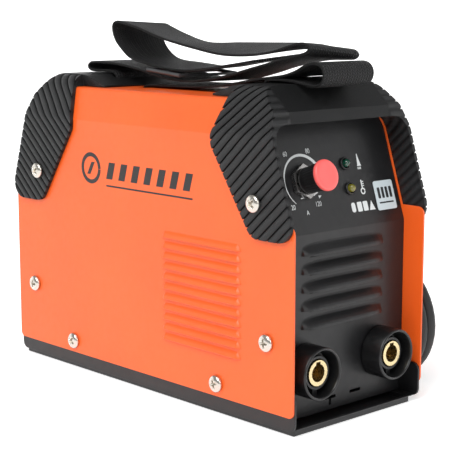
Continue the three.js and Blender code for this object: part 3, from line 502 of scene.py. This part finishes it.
def steps(value, table):
    """Smoothly goes from value to value at the turns given as (from, to, reached value)."""
    start, rest = table[0], table[1:]
    level = start
    for low, high, reached in rest:
        t = min(1, max(0, (value - low) / (high - low)))
        level += (reached - level) * t * t * (3 - 2 * t)
    return level


def coil_point(turn):
    """Three turns spiral in on the outer side, then three spiral out beside the wall."""
    apart = CORD_D / MM
    across = steps(turn, [apart / 2, (2.75, 3.1, -apart / 2)]) * MM
    outer, inner = COIL_MEAN_R + apart, COIL_MEAN_R - apart
    layers = [(0.85, 1.1, COIL_MEAN_R), (1.85, 2.1, inner), (3.8, 4.05, COIL_MEAN_R), (4.8, 5.05, outer)]
    radius = steps(turn, [outer, *layers]) * MM
    a = 2 * math.pi * turn
    around = -COIL_UP * math.cos(a) + Vector((0, -1, 0)) * math.sin(a)
    return COIL_CENTRE + COIL_AXIS * across + around * radius


def cord_points():
    lead = [Vector(p) * MM for p in LEAD_ROUTE]
    turns = [coil_point(k / POINTS_A_TURN) for k in range(POINTS_A_TURN * COIL_TURNS - 6 + 1)]
    tail = [Vector(p) * MM for p in TAIL_ROUTE]
    end = Vector((middle("plug_body").x, PLUG_LOW.y + 1 * MM, middle("plug_body").z))
    return lead + turns + tail[:-1] + [end]


def on_curve(points, t):
    """A point of the centripetal Catmull-Rom curve, t from 0 to 1 between the inner two of four points."""
    a, b, c, d = points
    knots = [0.0]
    for p, q in zip(points, points[1:]):
        knots.append(knots[-1] + max(1e-9, (q - p).length) ** 0.5)
    k0, k1, k2, k3 = knots
    u = k1 + (k2 - k1) * t
    ab = (a * (k1 - u) + b * (u - k0)) / (k1 - k0)
    bc = (b * (k2 - u) + c * (u - k1)) / (k2 - k1)
    cd = (c * (k3 - u) + d * (u - k2)) / (k3 - k2)
    abc = (ab * (k2 - u) + bc * (u - k0)) / (k2 - k0)
    bcd = (bc * (k3 - u) + cd * (u - k1)) / (k3 - k1)
    return (abc * (k2 - u) + bcd * (u - k1)) / (k2 - k1)


def smooth_line(points, step):
    """The curve through points, resampled a step apart, and its length."""
    dense = []
    padded = [2 * points[0] - points[1]] + points + [2 * points[-1] - points[-2]]
    for i in range(len(points) - 1):
        dense += [on_curve(padded[i:i + 4], k / 12) for k in range(12)]
    dense.append(points[-1])
    lengths = np.cumsum([0] + [(q - p).length for p, q in zip(dense, dense[1:])])
    at = np.linspace(0, lengths[-1], int(lengths[-1] / step) + 1)
    table = np.array([tuple(p) for p in dense])
    return [Vector([np.interp(t, lengths, table[:, k]) for k in range(3)]) for t in at], float(lengths[-1])


def make_cord():
    line, length = smooth_line(cord_points(), 5 * MM)
    data = bpy.data.curves.new("mains_lead", "CURVE")
    data.dimensions = "3D"
    spline = data.splines.new("POLY")
    spline.points.add(len(line) - 1)
    for point, p in zip(spline.points, line):
        point.co = (*p, 1)
    spline.use_smooth = True
    data.bevel_depth = CORD_D / 2
    data.bevel_resolution = 5
    data.use_fill_caps = True
    cord = add("mains_lead", data, "cord",
               replaces=("power_cord", "power_cord_coil", "power_cord_tail"))
    return cord, length


def make_relief():
    origin = Vector((middle("strain_relief").x, RELIEF_LOW.y, middle("strain_relief").z))
    length = (RELIEF_HIGH.y - RELIEF_LOW.y) / MM
    profile = [(0, 0), (6.4, 0), (6.8, 0.5), (6.8, 2.6), (6.3, 3.2)]
    for i in range(8):
        h = 4 + i * 2.6
        r = 6.2 - 1.7 * i / 7
        profile += [(r, h), (r + 0.15, h + 0.4), (r, h + 1.5), (r - 0.9, h + 1.7), (r - 0.9, h + 2.3)]
    profile += [(4.6, length - 0.6), (4.2, length), (0, length)]
    mesh = lathe("strain_relief_boot", profile, 40, towards((0, 1, 0), origin))
    return add("strain_relief_boot", mesh, "gland", replaces=("strain_relief",))


def make_plug():
    centre = middle("plug_body")
    length = (PLUG_HIGH.y - PLUG_LOW.y) / MM
    full = (PLUG_HIGH.x - PLUG_LOW.x) / 2 / MM
    boot = 25
    profile = [(0, 0), (4.2, 0), (4.7, 0.6)]
    for i in range(7):
        h = 2 + i * 3.1
        r = 4.7 + 1.7 * i / 6
        profile += [(r, h), (r + 0.1, h + 1.9), (r - 0.8, h + 2.1), (r - 0.8, h + 2.8)]
    profile += [(6.8, boot - 1), (8.6, boot + 0.6), (11, boot + 3), (12.6, boot + 7), (14.4, boot + 12)]
    profile += [(full - 1, boot + 17), (full - 0.3, boot + 21), (full - 0.3, length - 4.4)]
    profile += [(full - 1, length - 4), (full - 1, length - 3.4), (full - 0.2, length - 3)]
    profile += [(full - 0.2, length - 1), (full - 1.4, length), (0, length)]

    def grips(a, r, h):
        return -0.7 * max(0.0, math.sin(9 * a)) ** 2 if boot + 8 < h < length - 5 else 0

    place = towards((0, 1, 0), Vector((centre.x, PLUG_LOW.y, centre.z)))
    mesh = lathe("plug_shell", profile, 72, place, grips)
    shell = add("plug_shell", mesh, "plug", replaces=("plug_body",))
    pins = []
    for side in ("left", "right"):
        node = f"plug_pin_{side}"
        low, high = extent(node)
        at = middle(node)
        size = (high.y - low.y) / MM
        pin = [(0, 0), (2.4, 0), (2.4, size - 2.2), (2.2, size - 1.2), (1.5, size - 0.3), (0, size)]
        mesh = lathe(f"pin_{side}", pin, 24, towards((0, 1, 0), Vector((at.x, low.y, at.z))))
        pins.append(add(f"pin_{side}", mesh, "pin", replaces=(node,)))
    return [shell, *pins]


def make_tie():
    """A rubber tie round the wound lead, a little behind its top."""
    a = math.radians(150)
    around = -COIL_UP * math.cos(a) + Vector((0, -1, 0)) * math.sin(a)
    on = COIL_UP * math.sin(a) + Vector((0, -1, 0)) * math.cos(a)
    centre = COIL_CENTRE + around * COIL_MEAN_R * MM
    half_w, half_h, r = 8.1, 11.6, 3.8
    outer = rounded(-half_w, -half_h, half_w, half_h, r, 5)
    inner = rounded(-half_w + 0.9, -half_h + 0.9, half_w - 0.9, half_h - 0.9, r - 0.7, 5)
    place = Matrix((COIL_AXIS, around, on)).transposed().to_4x4()
    place.translation = centre
    count = len(outer)
    vertices = []
    for z in (-4.6, -4.2, 4.2, 4.6):
        inset = 0.35 if abs(z) > 4.4 else 0
        for x, y in outer:
            grow = 1 - inset / math.hypot(x, y)
            vertices.append(place @ Vector((x * grow * MM, y * grow * MM, z * MM)))
    for z in (4.6, -4.6):
        vertices += [place @ Vector((x * MM, y * MM, z * MM)) for x, y in inner]
    faces = []
    for k in range(6):
        for i in range(count):
            j = (i + 1) % count
            nxt = (k + 1) % 6
            faces.append((k * count + i, k * count + j, nxt * count + j, nxt * count + i))
    return add("lead_tie", mesh_of("lead_tie", vertices, faces), "tie")


def lay_lead():
    cord, length = make_cord()
    relief = make_relief()
    plug = make_plug()
    tie = make_tie()
    return length


# ---- strap ----
STRAP_LOW, STRAP_HIGH = extent("strap")
# The middle line's y and z, and how much the right edge stands above the left one per unit of width.
STRAP_ROUTE = [
    (-63.8, 160, 0), (-63.8, 167, 0), (-64.2, 171.5, 0), (-66.6, 174.7, 0), (-71, 175.5, 0), (-86, 175.2, 0),
    (-93, 174.2, 0), (-101, 173.3, 0), (-105.9, 175.2, 0), (-107.6, 179.2, 0), (-105.9, 183.2, 0),
    (-101, 184.8, 0), (-95, 183.6, 0), (-88, 180.4, 0), (-80, 178, 0), (-70, 176.9, 0.02), (-58, 175.4, 0.02),
    (-44, 172.6, 0), (-28, 170.4, 0), (-10, 169.3, 0), (10, 168.9, 0), (24, 168.7, 0), (30, 168.3, 0),
    (33.8, 166.9, 0), (36.6, 164.3, 0), (41, 163, 0), (47, 162.7, 0), (53, 163, 0), (57.4, 164.6, 0),
    (59, 167.6, 0), (59.2, 171.2, 0), (61, 174.4, 0), (65.4, 175.4, 0), (80, 175.3, 0), (84.6, 175.8, 0),
    (86.6, 177.7, 0), (84.6, 179.6, 0), (79, 180.2, 0), (62, 179.9, 0), (46, 178.4, 0), (28, 175.4, 0),
    (16, 173.4, 0), (4, 172.3, 0), (-8, 172.3, 0), (-22, 173.8, 0), (-38, 176.9, 0.02), (-54, 180.9, 0.03),
    (-66, 183.5, 0.02), (-78, 185.9, -0.02), (-90, 187.3, -0.07), (-95.6, 188.4, -0.1), (-97.6, 190.4, -0.11),
    (-95.4, 192.2, -0.11), (-90, 192.6, -0.1), (-82, 192, -0.04), (-70, 191.2, 0.08),
    (-55, 190.5, 0.14), (-33, 190.2, 0.14), (-8.5, 191.6, 0.045), (19.6, 194, -0.1), (40, 199, -0.12),
    (52, 202, -0.08), (58.4, 203.4, -0.05), (61.4, 202.4, -0.045), (62.2, 199.6, -0.05), (61.2, 195.6, -0.06),
    (58.8, 191.6, -0.07), (54.5, 187.7, -0.08), (48.8, 184, -0.06), (42.3, 182, -0.045), (28, 180.2, 0),
    (16, 179, 0.02), (8, 178.4, 0.02), (-6, 178.8, 0.04), (-23.4, 181, 0.06), (-44, 184, 0.07),
    (-56, 185.8, 0.07),
]
ROLL_SCALE = 100


def strap_section(half, thick):
    """The band's outline across its length: x and height, flat with soft edges."""
    section = []
    for side in (1, -1):
        for k in range(13):
            section.append((side * (half - 0.5 * MM) * (1 - k / 6), side * thick / 2))
        section.append((-side * half, side * thick * 0.28))
        section.append((-side * half, -side * thick * 0.28))
    return section


def make_strap():
    route = [Vector((roll * ROLL_SCALE, y, z)) * MM for y, z, roll in STRAP_ROUTE]
    line, _ = smooth_line(route, 1.4 * MM)
    half = (STRAP_HIGH.x - STRAP_LOW.x) / 2
    section = strap_section(half, 1.45 * MM)
    vertices, along, across = [], [], []
    distance = 0.0
    for i, p in enumerate(line):
        before, after = line[max(0, i - 1)], line[min(len(line) - 1, i + 1)]
        out = Vector((0, before.z - after.z, after.y - before.y)).normalized()
        distance += math.hypot(p.y - line[i - 1].y, p.z - line[i - 1].z) if i else 0
        roll = p.x / MM / ROLL_SCALE
        for x, t in section:
            vertices.append(Vector((x, p.y, p.z + roll * x)) + out * t)
            along.append(distance)
            across.append(x + half)
    count = len(section)
    faces = []
    for i in range(len(line) - 1):
        for k in range(count):
            m = (k + 1) % count
            faces.append((i * count + k, i * count + m, (i + 1) * count + m, (i + 1) * count + k))
    faces.append(tuple(range(count)))
    faces.append(tuple((len(line) - 1) * count + k for k in reversed(range(count))))
    mesh = mesh_of("strap_band", vertices, faces, 50)
    for name, values in (("along", along), ("across", across)):
        mesh.attributes.new(name, "FLOAT", "POINT").data.foreach_set("value", values)
    strap = add("strap_band", mesh, "strap", replaces=("strap",))
    return distance


def make_slider():
    low, high = extent("strap_slider")
    centre = (low + high) / 2
    tilt = Euler((math.radians(5), 0, 0)).to_matrix().to_4x4()
    place = Matrix.Translation(centre) @ tilt
    frame_bars = []
    for y, r in ((-13.8, 0.75), (0, 0.75), (13.8, 0.75)):
        frame_bars.append(([Vector((x, y, 0)) * MM for x in np.linspace(-21, 21, 9)], r))
    for x in (-21.2, 21.2):
        frame_bars.append(([Vector((x, y, 0)) * MM for y in np.linspace(-14.4, 14.4, 9)], 1.1))
    vertices, faces = [], []
    for points, r in frame_bars:
        part = tube("bar", [place @ p for p in points], r * MM, 16)
        base = len(vertices)
        vertices += [v.co.copy() for v in part.vertices]
        faces += [tuple(base + i for i in f.vertices) for f in part.polygons]
        bpy.data.meshes.remove(part)
    return add("strap_buckle", mesh_of("strap_buckle", vertices, faces, 60), "slider",
               replaces=("strap_slider",))


# ---- fasteners ----
def cross_depth(a, b):
    """How deep the cross recess is at a point of the head, in mm."""
    best = 0.0
    for u, v in ((a, b), (b, a)):
        reach = 2.7 - abs(u)
        wide = 0.62 - abs(v)
        if reach > 0 and wide > 0:
            best = max(best, min(1.0, reach / 0.9) * min(1.0, wide / 0.22))
    return 1.7 * best + (0.5 if a * a + b * b < 0.8 else 0) * best


def screw_mesh():
    radius, low, high = 4.7, 0.3, 2.95
    rings, sides = 26, 72
    vertices, faces = [], []
    for k in range(rings + 1):
        r = radius * (k / rings) ** 0.9
        for i in range(sides):
            a = 2 * math.pi * (i + 0.5) / sides
            x, y = r * math.cos(a), r * math.sin(a)
            dome = low + 0.7 + (high - low - 0.7) * math.sqrt(max(0, 1 - (r / radius) ** 2.6))
            vertices.append(Vector((x, y, dome - cross_depth(x, y))) * MM)
    for h, r in ((low + 0.35, radius), (low, radius - 0.15), (low, 0.5)):
        for i in range(sides):
            a = 2 * math.pi * (i + 0.5) / sides
            vertices.append(Vector((r * math.cos(a), r * math.sin(a), h)) * MM)
    for k in range(rings + 3):
        for i in range(sides):
            j = (i + 1) % sides
            faces.append((k * sides + i, k * sides + j, (k + 1) * sides + j, (k + 1) * sides + i))
    faces.append(tuple(range(sides - 1, -1, -1)))
    return mesh_of("pan_head", vertices, faces, 55)


def make_screws():
    head = screw_mesh()
    for n, node in enumerate(sorted(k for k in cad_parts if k.startswith("screw_"))):
        low, high = extent(node)
        at = (low + high) / 2
        side = 1 if at.x > 0 else -1
        seat = (high.x if side > 0 else low.x) - side * 3.0 * MM
        turn = Matrix.Rotation(0.7 * n + 0.3, 4, "Z")
        mesh = head.copy()
        mesh.transform(towards((side, 0, 0), Vector((seat, at.y, at.z))) @ turn)
        add(f"{node}_head", mesh, "screw", replaces=(node,))


# ---- output sockets ----
NECK = 9.3  # of the collar piece behind the face of the panel


def make_socket(name):
    low, high = extent(f"{name}_housing")
    centre = (low + high) / 2
    place = towards((0, -1, 0), Vector((centre.x, low.y, centre.z)))
    back = -(high.y - low.y) / MM + NECK
    outer = [(9, back - 9), (9, back), (13.2, back), (13.75, back + 0.5)]
    outer += [(13.75, -0.7), (13.5, -0.25), (13.1, 0)]
    inner = [(12.7, 0), (12.3, -0.3), (12.15, -0.9), (12.15, -10.6), (11.6, -11), (9.4, -11), (9.1, -10.6)]
    sleeve = [(9.0, -4.6), (8.7, -4.2), (7.5, -4.2), (7.15, -4.6), (7.15, back - 9), (9, back - 9)]
    mesh = lathe(f"{name}_collar", outer + inner + sleeve, 72, place)
    add(f"{name}_collar", mesh, "socket", replaces=(f"{name}_housing",))
    lugs = []
    corners = ((8.8, -1.6), (12.3, -1.8), (12.3, 1.8), (8.8, 1.6))
    for t in (math.pi / 2, 3 * math.pi / 2):
        lugs.append([(r * math.cos(t + d / r), r * math.sin(t + d / r)) for r, d in corners])
    shift = place @ Matrix.Translation((0, 0, -10.9 * MM))
    add(f"{name}_lugs", plate(f"{name}_lugs", lugs, shift, 5.0), "socket", smooth=False)


# ---- control panel ----
LABEL = middle("spec_label")
OUT = Vector((0, -math.cos(LEAN), math.sin(LEAN)))
UP = Vector((0, math.sin(LEAN), math.cos(LEAN)))
FOLD_Z = 99.3 * MM
SHEET_POINT = LABEL - OUT * 0.5 * MM


def on_panel(x, s, out=0.0):
    """A frame on the leaning panel at x and s mm up from its fold: X right, Y up the slope, Z outwards."""
    fold = SHEET_POINT - UP * ((SHEET_POINT.z - FOLD_Z) / UP.z)
    place = Matrix(((1, 0, 0), tuple(UP), tuple(OUT))).transposed().to_4x4()
    place.translation = Vector((0, fold.y, fold.z)) + Vector((x, 0, 0)) * MM + UP * s * MM + OUT * out * MM
    return place


def slope_of(node):
    """The x and the distance up the slope, in mm, of a node that stands on the leaning panel."""
    at = middle(node)
    fold = SHEET_POINT - UP * ((SHEET_POINT.z - FOLD_Z) / UP.z)
    return at.x / MM, (at - fold).dot(UP) / MM


def make_knob():
    x, s = slope_of("knob_cap")
    place = on_panel(x, s)
    body = [(3.3, 3.4), (6.5, 3.4), (6.9, 3.8), (6.95, 5.0), (6.7, 5.6), (6.9, 7.4), (7.4, 14.4),
            (7.2, 15.0), (6.8, 15.2), (0, 15.2)]

    def flutes(a, r, h):
        return -0.22 * abs(math.sin(14 * a)) ** 0.7 if 5.6 < h < 14.6 and r > 6 else 0

    mesh = lathe("knob_grip", body, 168, place, flutes, 60)
    add("knob_grip", mesh, "knob", "current_knob", ("knob_body",))
    cap = [(0, 15.5), (7.7, 15.5), (8.05, 15.8), (8.1, 16.6), (8.0, 17.3), (7.7, 17.8),
           (7.2, 18.05), (6.4, 18.15), (5, 18.08), (2.5, 18.0), (0, 17.98)]
    disc_mesh = lathe("knob_disc", cap, 72, place, angle=70)
    add("knob_disc", disc_mesh, "cap", "current_knob", ("knob_cap",))


def make_lamps():
    for node, finish, slot in (("led_green", "green", "lamp_green"), ("led_amber", "amber", "lamp_amber")):
        x, s = slope_of(node)
        place = on_panel(x, s)
        dome = [(0, -4), (2.25, -4), (2.25, 1.3)]
        turns = np.linspace(0.12, math.pi / 2 - 0.1, 10)
        dome += [(2.25 * math.cos(t), 1.3 + 2.6 * math.sin(t)) for t in turns]
        dome.append((0, 3.9))
        mesh = lathe(f"{node}_lens", dome, 40, place, angle=70)
        add(f"{node}_lens", mesh, finish, replaces=(node,))
        ring = [(2.6, 0.3), (3.3, 0.3), (3.4, 0.45), (3.36, 0.9), (3.15, 1.25), (2.9, 1.4)]
        ring += [(2.7, 1.3), (2.6, 1.05), (2.6, 0.3)]
        mesh = lathe(f"{node}_ring", ring, 48, place, angle=60)
        add(f"{node}_ring", mesh, "bezel", replaces=(f"{node}_bezel",))


def words(text, size, x, s, name):
    """Digits or a unit sign printed on the panel, centred at x and s mm."""
    data = bpy.data.curves.new(name, "FONT")
    data.body = text
    data.size = size * MM
    data.align_x = "CENTER"
    data.align_y = "CENTER"
    data.extrude = 0.02 * MM
    holder = bpy.data.objects.new("words", data)
    bpy.context.scene.collection.objects.link(holder)
    mesh = bpy.data.meshes.new_from_object(holder.evaluated_get(bpy.context.evaluated_depsgraph_get()))
    bpy.data.objects.remove(holder)
    mesh.transform(on_panel(x, s, 0.05) @ Matrix.Diagonal((0.82, 1, 1, 1)))
    mesh.name = name
    add(name, mesh, "white", smooth=False)


def make_dial():
    x, s = slope_of("knob_cap")
    words("20", 3.7, x - 10.7, s - 12.3, "dial_20")
    words("60", 3.7, x - 8.6, s + 15.3, "dial_60")
    words("80", 3.7, x + 8.0, s + 15.7, "dial_80")
    words("120", 3.7, x + 7.7, s - 12.2, "dial_120")
    words("A", 3.4, x - 1.1, s - 15.9, "dial_unit")
    turns = np.radians(np.linspace(230, 20, 60))
    arc = [(x + 0.9 + 13.9 * math.cos(t), s + 0.2 + 13.9 * math.sin(t)) for t in turns]
    shapes = [band(arc, list(np.linspace(0.3, 1.9, len(arc))))]
    shapes.append(band([(x - 4, s - 8.2), (x + 6, s - 7.3), (x + 9.1, s - 5.8)], [0.5, 0.6, 0.9]))
    shapes.append([(x + 9.4, s - 9.4), (x + 11.2, s - 7.9), (x + 8.8, s - 7.8)])
    add("dial_scale", plate("dial_scale", shapes, on_panel(0, 0, 0.03), 0.03), "white", smooth=False)


def make_icons():
    gx, gs = slope_of("led_green")
    ax, as_ = slope_of("led_amber")
    tool = [(-0.3, 4.4), (0.3, 4.4), (0.7, 1.8), (1.5, -1.4), (1.9, -2.2)]
    tool += [(-1.5, -2.2), (-1.0, -1.4), (-0.6, 1.8)]
    middle_x = gx + 10.9
    shapes = [[(middle_x + x, gs + 0.1 + y) for x, y in tool]]
    for k in range(3):
        shapes.append(rounded(middle_x - 1.3 + k, gs - 3.9, middle_x - 0.7 + k, gs - 2.6, 0.15, 2))
    stem = ax + 10.2
    bulb = as_ - 2.2
    shapes.append(rounded(stem - 0.75, bulb + 1.4, stem + 0.1, as_ + 3.9, 0.3, 2))
    for k in range(3):
        shapes.append(rounded(stem + 0.35, as_ + 0.4 + 1.1 * k, stem + 1.3, as_ + 0.95 + 1.1 * k, 0.15, 2))
    turns = np.linspace(0, 2 * math.pi * 0.98, 24)
    ring = [(stem - 0.3 + 1.45 * math.cos(t), bulb + 1.45 * math.sin(t)) for t in turns]
    shapes.append(band(ring, [0.75] * len(ring)))
    add("panel_icons", plate("panel_icons", shapes, on_panel(0, 0, 0.03), 0.03), "white", smooth=False)


def make_marks():
    """A row of plain printed shapes below the lamps."""
    x, _ = slope_of("led_green")
    low, high = 7.5, 12.7
    marks = [rounded(x - 1.6, low, x + 1.4, high, 1.2, 3), rounded(x + 2.9, low, x + 6.5, high, 0.6, 3),
             rounded(x + 7.5, low, x + 11.1, high, 0.6, 3),
             [(x + 12, low), (x + 16.6, low), (x + 14.3, high)]]
    add("panel_marks", plate("panel_marks", marks, on_panel(0, 0, 0.03), 0.03), "white", smooth=False)


def make_label():
    x, s = slope_of("spec_label")
    low, high = extent("spec_label")
    half = (high.x - low.x) / 2 / MM
    tall = (high.z - low.z) / 2 / MM / math.cos(LEAN)
    card = rounded(x - half, s - tall, x + half, s + tall, 1.2, 6)
    add("label_card", plate("label_card", [card], on_panel(0, 0, 0.3), 0.35), "label",
        replaces=("spec_label",), smooth=False)
    bars = [rounded(x - 5.6 + 3.1 * k, s - 1.6, x - 3.6 + 3.1 * k, s + 4.4, 0.4, 3) for k in range(4)]
    bars.append(rounded(x - 5.6, s - 4.4, x + 5.7, s - 3.6, 0.2, 2))
    add("label_bars", plate("label_bars", bars, on_panel(0, 0, 0.67), 0.03), "ink", smooth=False)


# ---- side graphic ----
def make_side_graphic():
    """A plain mark on each side of the case: a ring with a slanted bar, and a row of slanted bars."""
    for side in SIDES:
        place = Matrix(((0, side, 0), (0, 0, 1), (side, 0, 0))).transposed().to_4x4()
        place.translation = Vector((side * (WALL + 0.03 * MM), 0, 0))
        turns = np.linspace(0, 2 * math.pi * 0.995, 61)
        ring = [(-44 + 7.8 * math.cos(t), 122 + 7.8 * math.sin(t)) for t in turns]
        shapes = [band(ring, [2.4] * len(ring))]
        shapes.append([(-47.6, 118.4), (-44.6, 118.4), (-40.4, 125.6), (-43.4, 125.6)])
        for k in range(7):
            left = -30 + 11.0 * k
            shapes.append([(left, 117), (left + 5.6, 117), (left + 8.4, 126.5), (left + 2.8, 126.5)])
        shapes.append(rounded(-30, 112.6, 44, 113.6, 0.4, 2))
        add(f"side_mark_{'left' if side < 0 else 'right'}",
            plate("side_mark", shapes, place, 0.03), "graphic", smooth=False)


# ---- rear ----
def make_grille():
    low, high = extent("fan_grille")
    centre = (low + high) / 2
    y = low.y + 0.9 * MM
    vertices, faces = [], []

    def merge(points, r, closed):
        part = tube("wire", points, r * MM, 10, closed)
        base = len(vertices)
        vertices.extend(v.co.copy() for v in part.vertices)
        faces.extend(tuple(base + i for i in f.vertices) for f in part.polygons)
        bpy.data.meshes.remove(part)

    turns = np.linspace(0, 2 * math.pi, 72, endpoint=False)
    forward = Vector((0, y + 0.2 * MM - centre.y, 0))
    for r in (10, 16, 22, 28, 34):
        merge([centre + Vector((math.cos(t), 0, math.sin(t))) * r * MM + forward for t in turns], 0.75, True)
    for k in range(4):
        t = math.pi / 4 + k * math.pi / 2
        on = Vector((math.cos(t), 0, math.sin(t)))
        spoke = [centre + on * r * MM + Vector((0, y - 0.1 * MM - centre.y, 0)) for r in (9, 20, 35)]
        merge(spoke, 0.9, False)
    mesh = mesh_of("fan_guard", vertices, faces, 60)
    add("fan_guard", mesh, "wire", replaces=("fan_grille",))


# ---- stage ----
def make_stage():
    floor = bpy.data.meshes.new("floor")
    corners = [(-6, -6, 0), (6, -6, 0), (6, 6, 0), (-6, 6, 0), (6, -6, 3), (6, 6, 3), (-6, 6, 3)]
    floor.from_pydata(corners, [], [(0, 1, 2, 3), (1, 4, 5, 2), (2, 5, 6, 3)])
    piece = bpy.data.objects.new("floor", floor)
    bpy.context.scene.collection.objects.link(piece)
    s = Shader("floor_pale")
    s.set("Base Color", s.mix(s.noise(3), rgb(0.93, 0.93, 0.93), rgb(0.95, 0.95, 0.95)))
    s.set("Roughness", 0.7)
    s.set("Specular IOR Level", 0.2)
    s.set("Emission Color", rgb(1, 1, 1))
    s.set("Emission Strength", 0.45)
    floor.materials.append(s.material)
    piece.location.z = -0.0003
    world = bpy.data.worlds.new("world")
    world.use_nodes = True
    world.node_tree.nodes["Background"].inputs[0].default_value = rgb(1, 1, 1)
    world.node_tree.nodes["Background"].inputs[1].default_value = 0.34
    bpy.context.scene.world = world


def soft_light(name, place, aim, size, power):
    data = bpy.data.lights.new(name, "AREA")
    data.shape = "RECTANGLE"
    data.size, data.size_y = size
    data.energy = power
    light = bpy.data.objects.new(name, data)
    light.location = place
    light.rotation_euler = (Vector(aim) - Vector(place)).to_track_quat("-Z", "Y").to_euler()
    bpy.context.scene.collection.objects.link(light)


def soft_sun(name, direction, power, spread):
    data = bpy.data.lights.new(name, "SUN")
    data.energy = power
    data.angle = math.radians(spread)
    light = bpy.data.objects.new(name, data)
    light.rotation_euler = Vector(direction).to_track_quat("-Z", "Y").to_euler()
    bpy.context.scene.collection.objects.link(light)


def make_lights():
    aim = (0, 0, 0.09)
    soft_sun("key_sun", (0.62, 0.18, -0.76), 2.3, 40)
    soft_light("front", (-0.5, -1.7, 0.9), aim, (0.9, 0.9), 6)


finish_kept_nodes()
cord_length = lay_lead()
strap_length = make_strap()
make_slider()
make_screws()
make_socket("socket_plus")
make_socket("socket_minus")
make_knob()
make_lamps()
make_dial()
make_icons()
make_marks()
make_label()
make_side_graphic()
make_grille()
make_stage()
make_lights()
print("lengths", round(cord_length, 3), round(strap_length, 3))
